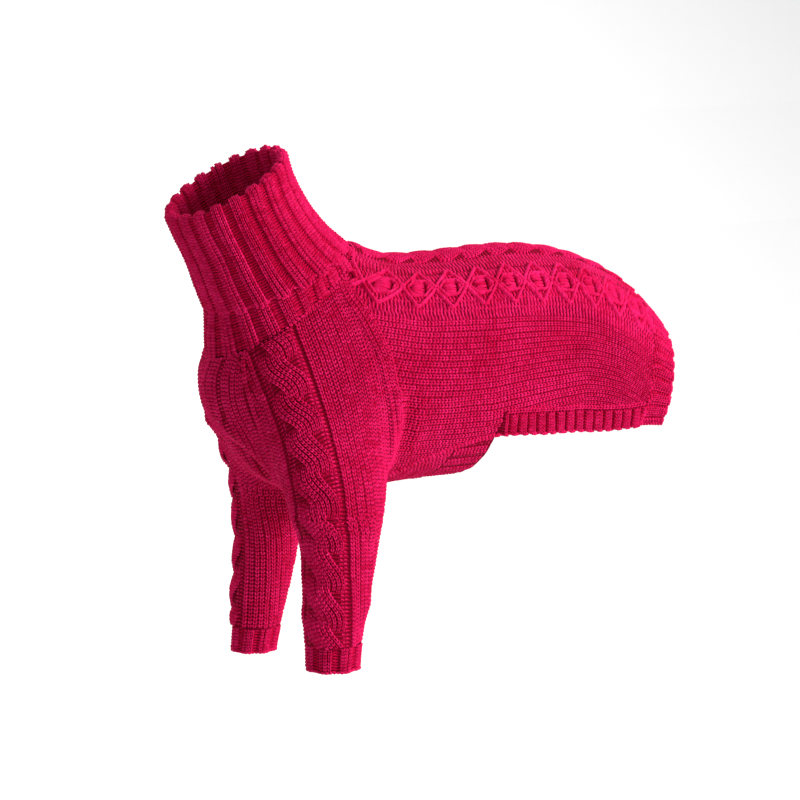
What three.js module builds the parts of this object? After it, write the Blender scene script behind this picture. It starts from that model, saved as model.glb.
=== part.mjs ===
// A cable-knit roll-neck sweater for a dog, hollow, in the pose in which it is worn.
// Millimetres, +Z up. The origin is on the spine at the withers, where the knit hangs from the
// back. The neck points to -X, the tail end to +X, and the left side faces -Y.
// Every knitted piece is a closed wall: a plain inner face under a raised outer face.
import * as THREE from 'three';

// Cloth
const WALL = 3;
const SEAM_GAP = 0.3;
const YARN = 0xc81e50;

// Stations along the trunk, from the collar seam to behind the rear edge. Each is a flat
// section from a point on the spine to one under the chest.
// top: spine point; low: chest point; half: half width; widest: where along the section it is
// widest; fullness: 2 is an ellipse, more is squarer
const TRUNK = rows(['topX', 'topZ', 'lowX', 'lowZ', 'half', 'widest', 'fullness'], [
  [-2, 3, -142, -90, 56, 0.5, 2],
  [7, -1, -149, -112, 63, 0.5, 2],
  [18, -7, -143, -142, 74, 0.48, 2],
  [31, -11, -121, -175, 83, 0.46, 2],
  [45, -13, -95, -204, 88, 0.45, 2],
  [62, -14, -56, -220, 89, 0.45, 2],
  [84, -14, 0, -222, 89, 0.45, 2],
  [112, -13, 60, -220, 87, 0.45, 2],
  [146, -12, 118, -220, 83, 0.46, 2.1],
  [185, -14, 168, -218, 79, 0.48, 2.2],
  [225, -22, 208, -212, 77, 0.5, 2.3],
  [265, -39, 245, -210, 76, 0.52, 2.3],
  [300, -63, 276, -210, 71, 0.52, 2.3],
  [328, -95, 309, -212, 64, 0.5, 2.3],
]);

// Level sections of each foreleg sleeve: its centre, outward from the spine, and half sizes
const LEFT_LEG = rows(['z', 'x', 'out', 'long', 'wide'], [
  [-380, -68, 88, 23, 22],
  [-340, -66, 87, 25.5, 24],
  [-300, -61, 84, 30, 28],
  [-250, -55, 78, 37, 33],
  [-210, -54, 70, 47, 37],
  [-170, -56, 62, 54, 38],
  [-120, -56, 50, 56, 36],
  [-80, -58, 40, 50, 30],
  [-50, -60, 30, 40, 22],
]);
const RIGHT_LEG = rows(['z', 'x', 'out', 'long', 'wide'], [
  [-410, -66, 80, 20, 19],
  [-370, -61, 79, 22, 21],
  [-320, -53, 77, 26, 25],
  [-270, -48, 74, 30, 29],
  [-220, -48, 69, 36, 34],
  [-170, -54, 62, 51, 38],
  [-120, -56, 50, 56, 36],
  [-80, -58, 40, 50, 30],
  [-50, -60, 30, 40, 22],
]);
const CREASE = 26;

// Seams round the trunk: the station, and the angles from the spine of the raglan seam behind
// the sleeve and of the one before it. They meet under the foreleg.
const RAGLANS = rows(['station', 'rear', 'front'], [
  [0, 43, 154],
  [1, 47, 151],
  [2, 55, 152],
  [3, 68, 156],
  [4, 80, 162],
  [4.6, 92, 167],
  [5, 102, 169.5],
  [5.5, 122, 168],
  [5.85, 145, 163],
  [6, 160, 160],
]);
// Lower edge of the back piece: the side seam first, then the free edge of the side band
const SIDE_EDGE = rows(['station', 'angle'], [
  [6, 160],
  [6.5, 149],
  [7, 142],
  [7.8, 135.5],
  [9, 137],
  [10.3, 137],
  [11.5, 132],
  [11.9, 129.5],
  [12.05, 125.5],
  [12.85, 121.5],
]);
const UNDERARM = 6;
const BELLY_BAND = 7.1;
const BELLY_END = 7.8;
const REAR_BAND = 11.9;
const REAR_END = 12.85;
const SIDE_BAND_DEEP = 25;
const SIDE_BAND_COLUMNS = 2;

// Rows of the mesh along the trunk. In the raglans they are close where the seam runs level.
const RAGLAN_STEPS = [0, 0.7, 1.4, 2.1, 2.8, 3.4, 4, 4.5, 4.85, 5.15, 5.4, 5.6, 5.76, 5.9, UNDERARM];
const ROWS_TO_BELLY_BAND = 4;
const ROWS_IN_BELLY_BAND = 4;
const ROWS_BESIDE_SIDE_BAND = 22;
const ROWS_IN_REAR_BAND = 4;

// Back piece: places across it, measured from the spine
const SPINE_CABLE = { half: 26, high: 4.5, repeat: 27 };
const LATTICE = { from: 45, to: 82, high: 2.5, repeat: 29 };
const BACK_COLUMNS = [8.7, 17.3, 26, 35.5, 45, 54, 63.5, 73, 82];
const BACK_PLAIN_COLUMNS = 5;
const CHEST_COLUMNS = 8;

// Sleeve: the middle line of its cable, from the collar down to the cuff
const LEFT_CABLE = rows(['x', 'out', 'z'], [
  [-108, 51, -64],
  [-101, 74, -111],
  [-91, 90, -163],
  [-87, 99, -215],
  [-86, 103, -270],
  [-85, 106, -343],
]);
const RIGHT_CABLE = rows(['x', 'out', 'z'], [
  [-108, 51, -64],
  [-101, 74, -111],
  [-92, 90, -163],
  [-86, 97, -215],
  [-82, 98, -290],
  [-81, 96, -370],
]);
const SLEEVE_CABLE = { half: 19, high: 4, repeat: 35 };
const SLEEVE_OFFSETS = [-24, -16, -8, 0, 8, 16, 24];
const SLEEVE_FRONT_COLUMNS = 6;
const SLEEVE_REAR_COLUMNS = 14;
const SLEEVE_ROOM_USED = 0.75;
const LOOP_DROP = 16;
const LOOP_EASE = 0.16;
const CAST_BELOW = 0.22;
const SLEEVE_LOWER_ROWS = 14;
const CUFF_DEEP = 24;
const LEFT_CUFF_END = -366;
const RIGHT_CUFF_END = -390;

// Ribs
const RIB = { high: 2.4, pitch: 14.5 };
const SIDE_RIB = { high: 2.2, pitch: 10.8 };
const CUFF_RIBS = 8;
const CUFF_COLUMNS_PER_RIB = 6;
const CUFF_INNER_STEP = 4;
const COLUMNS_PER_RIB = 4;
const SIDE_BAND_SPLIT = 3;

// Roll neck: the outer face of the turned-down layer, from its lower edge to the fold
const TURNED_DOWN = rows(['backX', 'backZ', 'frontX', 'frontZ', 'half'], [
  [-14, 10, -142, -47, 60],
  [-34, 27, -150, -27, 58],
  [-52, 49, -158, -5, 56],
  [-65, 73, -168, 15, 55],
  [-71, 92, -177, 34, 55],
]);
const COLLAR_RIBS = 20;
const COLLAR_COLUMNS_PER_RIB = 4;
const COLLAR_ROWS = 6;
const COLLAR_LAYER_GAP = 1.2;
const FOLD_RISE = 5;

// Largest folds: soft ridges (high above 0) and troughs, each from one place to another
const FOLDS = rows(['x1', 'out1', 'z1', 'x2', 'out2', 'z2', 'wide', 'high', 'side'], [
  [-136, 18, -150, -96, 44, -200, 7, 4, 0],
  [-128, 14, -170, -88, 38, -212, 6, -3, 0],
  [-122, 8, -186, -76, 30, -222, 7, 4, 0],
  [0, 90, -120, -2, 84, -190, 6, 3, 0],
  [14, 90, -128, 12, 78, -196, 6, -3, 0],
  [26, 88, -150, 22, 66, -208, 7, 3, 0],
  [78, 70, -194, 118, 60, -200, 6, 3.5, 0],
  [74, 60, -206, 116, 52, -209, 5, -2.5, 0],
  [66, 44, -217, 112, 38, -219, 6, 3.5, 0],
  [60, 16, -226, 112, 12, -226, 7, 3, 0],
  [-112, 62, -228, -36, 112, -236, 8, 2.5, -1],
  [-106, 66, -262, -30, 104, -256, 8, -2.5, -1],
]);

const STATION_SPLIT = 8;
const ANGLE_STEPS = 60;
const CAST_REACH = 170;
const CAST_STEPS = 48;
const LEFT = -1;
const RIGHT = 1;

// Tables and curves

function rows(names, lines) {
  return lines.map((line) => Object.fromEntries(names.map((name, i) => [name, line[i]])));
}

function blendRows(table, place) {
  // A smooth curve through the rows of a table, at a place counted in rows
  const last = table.length - 1;
  const at = Math.min(Math.max(place, 0), last);
  const i = Math.min(Math.floor(at), last - 1);
  const f = at - i;
  const blended = {};
  for (const name of Object.keys(table[0])) {
    const b = table[i][name];
    const c = table[i + 1][name];
    const a = i > 0 ? table[i - 1][name] : 2 * b - c;
    const d = i + 2 <= last ? table[i + 2][name] : 2 * c - b;
    blended[name] = 0.5 * (2 * b + (c - a) * f + (2 * a - 5 * b + 4 * c - d) * f ** 2
      + (3 * b - a - 3 * c + d) * f ** 3);
  }
  return blended;
}

function placeIn(table, name, value) {
  // The place in rows where a rising column has the value
  const last = table.length - 1;
  let i = 0;
  while (i < last - 1 && table[i + 1][name] < value) i += 1;
  const f = (value - table[i][name]) / (table[i + 1][name] - table[i][name]);
  return Math.min(Math.max(i + f, 0), last);
}

function lookUp(table, key, value, name) {
  const place = placeIn(table, key, value);
  const i = Math.min(Math.floor(place), table.length - 2);
  return THREE.MathUtils.lerp(table[i][name], table[i + 1][name], place - i);
}

function steps(from, to, count) {
  return Array.from({ length: count }, (_, i) => from + (to - from) * (i + 1) / count);
}

// The skin that the knit lies on: negative inside it

const SECTIONS = [];
for (let i = 0; i <= (TRUNK.length - 1) * STATION_SPLIT; i += 1) {
  const row = blendRows(TRUNK, i / STATION_SPLIT);
  row.x = row.lowX - row.topX;
  row.z = row.lowZ - row.topZ;
  row.long = Math.hypot(row.x, row.z);
  SECTIONS.push(row);
}

function trunkDepth(p) {
  const ahead = (row) => (row.x * (p.z - row.topZ) - row.z * (p.x - row.topX)) / row.long;
  let k = 0;
  while (k < SECTIONS.length - 2 && ahead(SECTIONS[k + 1]) > 0) k += 1;
  const a = SECTIONS[k];
  const b = SECTIONS[k + 1];
  const before = ahead(a);
  const after = ahead(b);
  const f = Math.min(Math.max(before / ((before - after) || 1e-9), 0), 1);
  const mix = (name) => a[name] + (b[name] - a[name]) * f;
  const [x, z] = [mix('x'), mix('z')];
  const long = Math.hypot(x, z);
  const along = ((p.x - mix('topX')) * x + (p.z - mix('topZ')) * z) / long;
  const fromWidest = along - mix('widest') * long;
  const reach = fromWidest < 0 ? mix('widest') * long : (1 - mix('widest')) * long;
  const n = mix('fullness');
  const sum = Math.abs(fromWidest / reach) ** n + Math.abs(p.y / mix('half')) ** n;
  const ratio = Math.max(sum ** (1 / n), 1e-3);
  return Math.hypot(fromWidest, p.y) * (1 - 1 / ratio);
}

function legTable(side) {
  return side === LEFT ? LEFT_LEG : RIGHT_LEG;
}

function legSection(side, z) {
  const table = legTable(side);
  return blendRows(table, placeIn(table, 'z', z));
}

function legDepth(p, side) {
  const section = legSection(side, p.z);
  const dx = p.x - section.x;
  const dy = p.y * side - section.out;
  const ratio = Math.max(Math.hypot(dx / section.long, dy / section.wide), 1e-3);
  const top = legTable(side).at(-1).z;
  return Math.hypot(dx, dy) * (1 - 1 / ratio) + Math.max(p.z - top, 0);
}

function skin(p) {
  const trunk = trunkDepth(p);
  const leg = legDepth(p, p.y < 0 ? LEFT : RIGHT);
  const overlap = Math.max(CREASE - Math.abs(trunk - leg), 0) / CREASE;
  return Math.min(trunk, leg) - overlap * overlap * CREASE / 4;
}

function slope(p) {
  const h = 0.4;
  const at = (x, y, z) => skin(new THREE.Vector3(p.x + x, p.y + y, p.z + z));
  return new THREE.Vector3(
    at(h, 0, 0) - at(-h, 0, 0),
    at(0, h, 0) - at(0, -h, 0),
    at(0, 0, h) - at(0, 0, -h),
  ).divideScalar(2 * h);
}

function outward(p) {
  return slope(p).normalize();
}

function castOut(centre, direction) {
  // Where a ray from inside first leaves the skin
  const at = (distance) => skin(centre.clone().addScaledVector(direction, distance));
  let near = 0;
  let far = CAST_REACH;
  for (let i = 1; i <= CAST_STEPS; i += 1) {
    const distance = CAST_REACH * i / CAST_STEPS;
    if (at(distance) > 0) {
      far = distance;
      break;
    }
    near = distance;
  }
  for (let i = 0; i < 14; i += 1) {
    const middle = (near + far) / 2;
    if (at(middle) > 0) far = middle;
    else near = middle;
  }
  return centre.clone().addScaledVector(direction, (near + far) / 2);
}

function settle(p) {
  // The skin's point nearest to p
  const q = p.clone();
  for (let i = 0; i < 7; i += 1) {
    const g = slope(q);
    q.addScaledVector(g, -skin(q) / Math.max(g.lengthSq(), 0.2));
  }
  return q;
}

function foldHeight(p) {
  let height = 0;
  for (const fold of FOLDS) {
    if (fold.side !== 0 && fold.side !== Math.sign(p.y)) continue;
    const side = p.y < 0 ? LEFT : RIGHT;
    const a = new THREE.Vector3(fold.x1, fold.out1 * side, fold.z1);
    const b = new THREE.Vector3(fold.x2, fold.out2 * side, fold.z2);
    const nearest = new THREE.Line3(a, b).closestPointToPoint(p, true, new THREE.Vector3());
    height += fold.high * Math.exp(-((nearest.distanceTo(p) / fold.wide) ** 2));
  }
  return height;
}

// Rings round the trunk

const ringStore = new Map();

function ring(station, side) {
  // Points of the skin from the spine to under the chest, with their arc lengths and angles
  const key = `${station},${side}`;
  if (ringStore.has(key)) return ringStore.get(key);
  const row = blendRows(TRUNK, station);
  const down = new THREE.Vector3(row.lowX - row.topX, 0, row.lowZ - row.topZ);
  const centre = new THREE.Vector3(row.topX, 0, row.topZ).addScaledVector(down, row.widest);
  down.normalize();
  const points = [];
  const arcs = [0];
  for (let i = 0; i <= ANGLE_STEPS; i += 1) {
    const angle = Math.PI * i / ANGLE_STEPS;
    const direction = down.clone().multiplyScalar(-Math.cos(angle));
    direction.y = Math.sin(angle) * side;
    points.push(castOut(centre, direction));
    if (i > 0) arcs.push(arcs[i - 1] + points[i].distanceTo(points[i - 1]));
  }
  const made = { points, arcs, across: new THREE.Vector3(-down.z, 0, down.x) };
  ringStore.set(key, made);
  return made;
}

function arcAt(station, side, degrees) {
  const { arcs } = ring(station, side);
  const place = degrees / 180 * ANGLE_STEPS;
  const i = Math.min(Math.floor(place), ANGLE_STEPS - 1);
  return THREE.MathUtils.lerp(arcs[i], arcs[i + 1], place - i);
}

function along(points, arcs, arc) {
  let i = 0;
  while (i < arcs.length - 2 && arcs[i + 1] < arc) i += 1;
  const f = Math.min(Math.max((arc - arcs[i]) / (arcs[i + 1] - arcs[i]), 0), 1);
  return points[i].clone().lerp(points[i + 1], f);
}

function ringPoint(station, side, arc) {
  const { points, arcs } = ring(station, side);
  return along(points, arcs, arc);
}

function rearEdgeArc(station, side) {
  const degrees = station <= UNDERARM
    ? lookUp(RAGLANS, 'station', station, 'rear')
    : lookUp(SIDE_EDGE, 'station', station, 'angle');
  return arcAt(station, side, degrees);
}

function frontEdgeArc(station, side) {
  const degrees = station <= UNDERARM
    ? lookUp(RAGLANS, 'station', station, 'front')
    : lookUp(SIDE_EDGE, 'station', station, 'angle');
  return arcAt(station, side, degrees);
}

// Raised patterns: heights over the plain cloth

function fade(distance, width) {
  return THREE.MathUtils.smoothstep(distance, 0, width);
}

function rope(cable, across, up) {
  // A twisted rope: humps that lean across the cable
  if (Math.abs(across) >= cable.half) return 0;
  const crown = Math.sqrt(1 - (across / cable.half) ** 2);
  const lean = across / (2 * cable.half);
  const hump = 0.65 + 0.35 * Math.cos(2 * Math.PI * (up / cable.repeat - lean));
  return cable.high * crown * hump;
}

function lattice(across, up) {
  // Two lines that zigzag apart and together, round diamonds
  const middle = (LATTICE.from + LATTICE.to) / 2;
  const half = (LATTICE.to - LATTICE.from) / 2;
  const wave = Math.abs(((up / LATTICE.repeat) % 1 + 1) % 1 * 2 - 1);
  const off = Math.abs(Math.abs(across - middle) - half * wave);
  return LATTICE.high * Math.exp(-((off / 5) ** 2));
}

function ribHeight(rib, place) {
  return rib.high * (0.5 + 0.5 * Math.cos(2 * Math.PI * place / rib.pitch));
}

// Closed walls

function offsetCorner(sides) {
  // The move that keeps the gap to every seam that meets at a point
  if (sides.length === 1) return sides[0].clone().multiplyScalar(SEAM_GAP / 2);
  const sum = sides[0].clone().add(sides[1]);
  return sum.multiplyScalar(SEAM_GAP / 2 / Math.max(1 + sides[0].dot(sides[1]), 0.4));
}

function seamSide(before, after, normal, inside, point) {
  const side = after.clone().sub(before).cross(normal).normalize();
  return side.dot(inside.clone().sub(point)) < 0 ? side.negate() : side;
}

class Wall {
  constructor() {
    this.points = [];
    this.faces = [];
  }

  add(point) {
    this.points.push(point);
    return this.points.length - 1;
  }

  sheet(ids, flip, isOpen = () => false) {
    for (let i = 0; i + 1 < ids.length; i += 1) {
      for (let j = 0; j + 1 < ids[i].length; j += 1) {
        if (isOpen(i, j)) continue;
        const [a, b, c, d] = [ids[i][j], ids[i + 1][j], ids[i + 1][j + 1], ids[i][j + 1]];
        this.face(a, b, c, flip);
        this.face(a, c, d, flip);
      }
    }
  }

  face(a, b, c, flip) {
    if (a === b || b === c || a === c) return;
    this.faces.push(flip ? [a, c, b] : [a, b, c]);
  }

  rim(outer, inner) {
    // Joins an edge of the outer face to the coarser edge of the inner face
    const split = (outer.length - 1) / (inner.length - 1);
    const middle = Math.floor((split + 1) / 2);
    for (let k = 0; k + 1 < inner.length; k += 1) {
      for (let q = 0; q < split; q += 1) {
        const at = k * split + q;
        this.face(outer[at + 1], outer[at], q < middle ? inner[k] : inner[k + 1], false);
      }
      this.face(outer[k * split + middle], inner[k], inner[k + 1], false);
    }
  }

  mesh(name) {
    this.dropUnused();
    const geometry = new THREE.BufferGeometry();
    const position = this.points.flatMap((p) => [p.x, p.y, p.z]);
    geometry.setAttribute('position', new THREE.Float32BufferAttribute(position, 3));
    const faces = this.volume() < 0 ? this.faces.map(([a, b, c]) => [a, c, b]) : this.faces;
    geometry.setIndex(faces.flat());
    geometry.computeVertexNormals();
    const yarn = new THREE.MeshStandardMaterial({ color: YARN, roughness: 0.92, metalness: 0 });
    const made = new THREE.Mesh(geometry, yarn);
    made.name = name;
    return made;
  }

  dropUnused() {
    const used = [...new Set(this.faces.flat())];
    const place = new Map(used.map((id, i) => [id, i]));
    this.points = used.map((id) => this.points[id]);
    this.faces = this.faces.map((face) => face.map((id) => place.get(id)));
  }

  volume() {
    return this.faces.reduce((sum, [a, b, c]) => {
      const cross = this.points[b].clone().cross(this.points[c]);
      return sum + this.points[a].dot(cross) / 6;
    }, 0);
  }
}

function everySecond(list, step) {
  return list.filter((_, i) => i % step === 0);
}

function thin(ids, rowStep, columnStep) {
  return everySecond(ids, rowStep).map((line) => everySecond(line, columnStep));
}

// A cloth point holds where it lies on the skin, which way is out, and how high it is raised

function clothPoint(point, raise = 0, flatTo = null) {
  const normal = outward(point);
  if (flatTo) normal.addScaledVector(flatTo, -normal.dot(flatTo)).normalize();
  return { point, normal, raise, shift: new THREE.Vector3() };
}

function outerPoint(cloth) {
  if (cloth.settled) return cloth.settled;
  const height = foldHeight(cloth.point) + cloth.raise;
  return cloth.point.clone().addScaledVector(cloth.normal, height).add(cloth.shift);
}

function innerPoint(cloth) {
  const height = foldHeight(cloth.point) - WALL;
  return cloth.point.clone().addScaledVector(cloth.normal, height).add(cloth.shift);
}

function shiftEdges(grid, cuts) {
  // Moves the edges of a grid of cloth points back from their seams
  const rowsLast = grid.length - 1;
  const columnsLast = grid[0].length - 1;
  for (let i = 0; i <= rowsLast; i += 1) {
    for (let j = 0; j <= columnsLast; j += 1) {
      const sides = [];
      const here = grid[i][j];
      const inColumn = (step) => grid[Math.min(Math.max(i + step, 0), rowsLast)][j].point;
      const inRow = (step) => grid[i][Math.min(Math.max(j + step, 0), columnsLast)].point;
      if ((j === 0 && cuts.left) || (j === columnsLast && cuts.right)) {
        const inside = inRow(j === 0 ? 1 : -1);
        sides.push(seamSide(inColumn(-1), inColumn(1), here.normal, inside, here.point));
      }
      if (i === 0 && cuts.first) sides.push(cuts.first.clone());
      if (i === rowsLast && cuts.last) sides.push(cuts.last.clone().negate());
      if (sides.length > 0) here.shift = offsetCorner(sides);
    }
  }
}

function panel(name, grid, rowStep = 2, columnStep = 2) {
  // A wall with four edges
  const wall = new Wall();
  const outer = grid.map((line) => line.map((cloth) => wall.add(outerPoint(cloth))));
  const coarse = thin(grid, rowStep, columnStep);
  const inner = coarse.map((line) => line.map((cloth) => wall.add(innerPoint(cloth))));
  wall.sheet(outer, false);
  wall.sheet(inner, true);
  const edge = (ids, j) => ids.map((line) => line.at(j));
  wall.rim(edge(outer, 0), edge(inner, 0));
  wall.rim(outer.at(-1), inner.at(-1));
  wall.rim(edge(outer, -1).reverse(), edge(inner, -1).reverse());
  wall.rim([...outer[0]].reverse(), [...inner[0]].reverse());
  return wall.mesh(name);
}

function tube(name, grid, rowStep, columnStep) {
  // A wall that is closed round, open at both ends. The last column is the first one again.
  const wall = new Wall();
  const close = (line) => [...line, line[0]];
  const outer = grid.map((line) => close(line.map((cloth) => wall.add(outerPoint(cloth)))));
  const coarse = thin(grid, rowStep, columnStep);
  const inner = coarse.map((line) => close(line.map((cloth) => wall.add(innerPoint(cloth)))));
  wall.sheet(outer, false);
  wall.sheet(inner, true);
  wall.rim(outer.at(-1), inner.at(-1));
  wall.rim([...outer[0]].reverse(), [...inner[0]].reverse());
  return wall.mesh(name);
}

// Trunk pieces

const STATIONS = [
  ...RAGLAN_STEPS,
  ...steps(UNDERARM, BELLY_BAND, ROWS_TO_BELLY_BAND),
  ...steps(BELLY_BAND, BELLY_END, ROWS_IN_BELLY_BAND),
  ...steps(BELLY_END, REAR_BAND, ROWS_BESIDE_SIDE_BAND),
  ...steps(REAR_BAND, REAR_END, ROWS_IN_REAR_BAND),
];
const ROW_UNDERARM = RAGLAN_STEPS.length - 1;
const ROW_BELLY_BAND = ROW_UNDERARM + ROWS_TO_BELLY_BAND;
const ROW_BELLY_END = ROW_BELLY_BAND + ROWS_IN_BELLY_BAND;
const ROW_REAR_BAND = ROW_BELLY_END + ROWS_BESIDE_SIDE_BAND;

function planeNormal(station) {
  // Square to the section, towards the tail
  return ring(station, LEFT).across.clone();
}

function backArcs(station, side) {
  // Places across half of the back piece. The last ones are the strip that the side band takes.
  const edge = rearEdgeArc(station, side);
  const strip = Math.min(SIDE_BAND_DEEP, edge / 5);
  const cable = BACK_COLUMNS.filter((arc) => arc <= SPINE_CABLE.half);
  const rest = BACK_COLUMNS.filter((arc) => arc > SPINE_CABLE.half);
  const need = rest.at(-1) + BACK_PLAIN_COLUMNS * 4;
  const squeeze = Math.min(1, (edge - strip - SPINE_CABLE.half) / (need - SPINE_CABLE.half));
  const placed = rest.map((arc) => SPINE_CABLE.half + (arc - SPINE_CABLE.half) * squeeze);
  return [
    0, ...cable, ...placed,
    ...steps(placed.at(-1), edge - strip, BACK_PLAIN_COLUMNS),
    ...steps(edge - strip, edge, SIDE_BAND_COLUMNS),
  ];
}

// How far each row lies along the spine, for the repeats of the pattern
const SPINE_PLACES = [0];
for (let i = 1; i < STATIONS.length; i += 1) {
  const step = ringPoint(STATIONS[i], LEFT, 0).distanceTo(ringPoint(STATIONS[i - 1], LEFT, 0));
  SPINE_PLACES.push(SPINE_PLACES[i - 1] + step);
}

function backRelief(side, arc, edge, rowIndex) {
  const up = SPINE_PLACES[rowIndex];
  const ends = Math.min(up, SPINE_PLACES[ROW_REAR_BAND] - up);
  const calm = fade(edge - arc, 12) * fade(ends, 8);
  const inLattice = arc > LATTICE.from - 6 && arc < LATTICE.to + 6;
  return calm * (rope(SPINE_CABLE, arc * side, up) + (inLattice ? lattice(arc, up) : 0));
}

function backPanel() {
  const grid = STATIONS.slice(0, ROW_REAR_BAND + 1).map((station, i) => {
    const atEnd = i === 0 || i === ROW_REAR_BAND;
    const half = (side) => backArcs(station, side).map((arc, k, all) => {
      const inStrip = k >= all.length - 1 - SIDE_BAND_COLUMNS;
      const flat = atEnd || (inStrip && i === ROW_BELLY_END) ? planeNormal(station) : null;
      return clothPoint(ringPoint(station, side, arc), backRelief(side, arc, all.at(-1), i), flat);
    });
    return [...half(LEFT).slice(1).reverse(), ...half(RIGHT)];
  });
  const columns = grid[0].length - 1;
  const first = SIDE_BAND_COLUMNS;
  const last = columns - SIDE_BAND_COLUMNS;
  shiftEdges(grid.slice(0, ROW_BELLY_END + 1), { left: true, right: true, first: planeNormal(0) });
  const rear = grid.slice(ROW_BELLY_END).map((line) => line.slice(first, last + 1));
  shiftEdges(rear, { left: true, right: true, last: planeNormal(REAR_BAND) });
  grid[ROW_BELLY_END].forEach((cloth, j) => {
    const step = j <= first || j >= last;
    if (step) cloth.shift.addScaledVector(planeNormal(BELLY_END), -SEAM_GAP / 2);
  });

  const wall = new Wall();
  const outer = grid.map((line) => line.map((cloth) => wall.add(outerPoint(cloth))));
  const inner = thin(grid, 2, 2).map((line) => line.map((cloth) => wall.add(innerPoint(cloth))));
  const inNotch = (i, j, split) => i >= ROW_BELLY_END / split && (j < first / split || j >= last / split);
  wall.sheet(outer, false, (i, j) => inNotch(i, j, 1));
  wall.sheet(inner, true, (i, j) => inNotch(i, j, 2));
  const path = (ids, split) => {
    const notch = ROW_BELLY_END / split;
    const [near, far, end] = [first / split, last / split, columns / split];
    return [
      ...ids.slice(0, notch + 1).map((line) => line[0]),
      ...ids[notch].slice(1, near + 1),
      ...ids.slice(notch + 1).map((line) => line[near]),
      ...ids.at(-1).slice(near + 1, far + 1),
      ...ids.slice(notch, -1).map((line) => line[far]).reverse(),
      ...ids[notch].slice(far + 1, end + 1),
      ...ids.slice(0, notch).map((line) => line[end]).reverse(),
      ...ids[0].slice(0, -1).reverse(),
    ];
  };
  wall.rim(path(outer, 1), path(inner, 2));
  return wall.mesh('back_panel');
}

function bandLine(station, side) {
  const edge = rearEdgeArc(station, side);
  const columns = SIDE_BAND_COLUMNS * 2;
  return Array.from({ length: columns + 1 }, (_, k) => (
    ringPoint(station, side, edge - SIDE_BAND_DEEP * (1 - k / columns))));
}

function sideBand(name, side) {
  // The ribbed band under the side of the back piece, with its ribs straight up
  const lines = [];
  for (let i = ROW_BELLY_END; i < ROW_REAR_BAND; i += 1) {
    const next = bandLine(STATIONS[i + 1], side);
    for (let q = 0; q < SIDE_BAND_SPLIT; q += 1) {
      lines.push(bandLine(STATIONS[i], side).map((p, k) => p.lerp(next[k], q / SIDE_BAND_SPLIT)));
    }
  }
  lines.push(bandLine(REAR_BAND, side));
  const places = [0];
  for (let i = 1; i < lines.length; i += 1) {
    places.push(places[i - 1] + lines[i][SIDE_BAND_COLUMNS].distanceTo(lines[i - 1][SIDE_BAND_COLUMNS]));
  }
  const grid = lines.map((line, i) => {
    const ends = Math.min(places[i], places.at(-1) - places[i]);
    const station = i === 0 ? BELLY_END : REAR_BAND;
    const flat = ends === 0 ? planeNormal(station) : null;
    return line.map((point, k) => {
      const calm = k === 0 ? 0 : fade(ends, 4);
      return clothPoint(point, calm * ribHeight(SIDE_RIB, places[i]), flat);
    });
  });
  shiftEdges(grid, { left: true, first: planeNormal(BELLY_END), last: planeNormal(REAR_BAND) });
  straightenSeam(grid, SIDE_BAND_SPLIT);
  return panel(name, grid, SIDE_BAND_SPLIT * 2, 2);
}

function straightenSeam(grid, split) {
  // Between the rows that it shares with the panel, the seam edge runs straight
  for (let i = 0; i + split < grid.length; i += split) {
    const [a, b] = [outerPoint(grid[i][0]), outerPoint(grid[i + split][0])];
    for (let q = 1; q < split; q += 1) grid[i + q][0].settled = a.clone().lerp(b, q / split);
  }
}

function rearBand() {
  const grid = [];
  const widths = [LEFT, RIGHT].map((side) => rearEdgeArc(REAR_BAND, side));
  const halfRibs = Math.round((widths[0] + widths[1]) / 2 / RIB.pitch);
  const halfColumns = halfRibs * COLUMNS_PER_RIB;
  for (let i = ROW_REAR_BAND; i < STATIONS.length; i += 1) {
    const station = STATIONS[i];
    const flat = i === ROW_REAR_BAND ? planeNormal(station) : null;
    const near = i === ROW_REAR_BAND ? 0 : 1;
    const half = (side) => Array.from({ length: halfColumns + 1 }, (_, k) => {
      const arc = rearEdgeArc(station, side) * k / halfColumns;
      const raise = near * ribHeight({ high: RIB.high, pitch: COLUMNS_PER_RIB }, k);
      return clothPoint(ringPoint(station, side, arc), raise, flat);
    });
    grid.push([...half(LEFT).slice(1).reverse(), ...half(RIGHT)]);
  }
  shiftEdges(grid, { first: planeNormal(REAR_BAND) });
  return panel('hem_rear', grid, 2, COLUMNS_PER_RIB);
}

function underPiece(name, firstRow, lastRow, halfColumns, ribbed, cuts) {
  // The chest or belly piece between the front raglans, and then between the side seams
  const grid = [];
  for (let i = firstRow; i <= lastRow; i += 1) {
    const station = STATIONS[i];
    const plane = (i === firstRow && cuts.first) || (i === lastRow && cuts.last);
    const flat = plane ? planeNormal(station) : null;
    const half = (side) => Array.from({ length: halfColumns + 1 }, (_, k) => {
      const { arcs } = ring(station, side);
      const edge = frontEdgeArc(station, side);
      const arc = THREE.MathUtils.lerp(arcs.at(-1), edge, k / halfColumns);
      const calm = ribbed && !(i === firstRow) && k < halfColumns ? 1 : 0;
      const raise = calm * ribHeight({ high: RIB.high, pitch: COLUMNS_PER_RIB }, k);
      return clothPoint(ringPoint(station, side, arc), raise, flat);
    });
    grid.push([...half(RIGHT).slice(1).reverse(), ...half(LEFT)]);
  }
  shiftEdges(grid, cuts);
  return panel(name, grid, 2, ribbed ? COLUMNS_PER_RIB : 2);
}

// Sleeves

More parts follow.
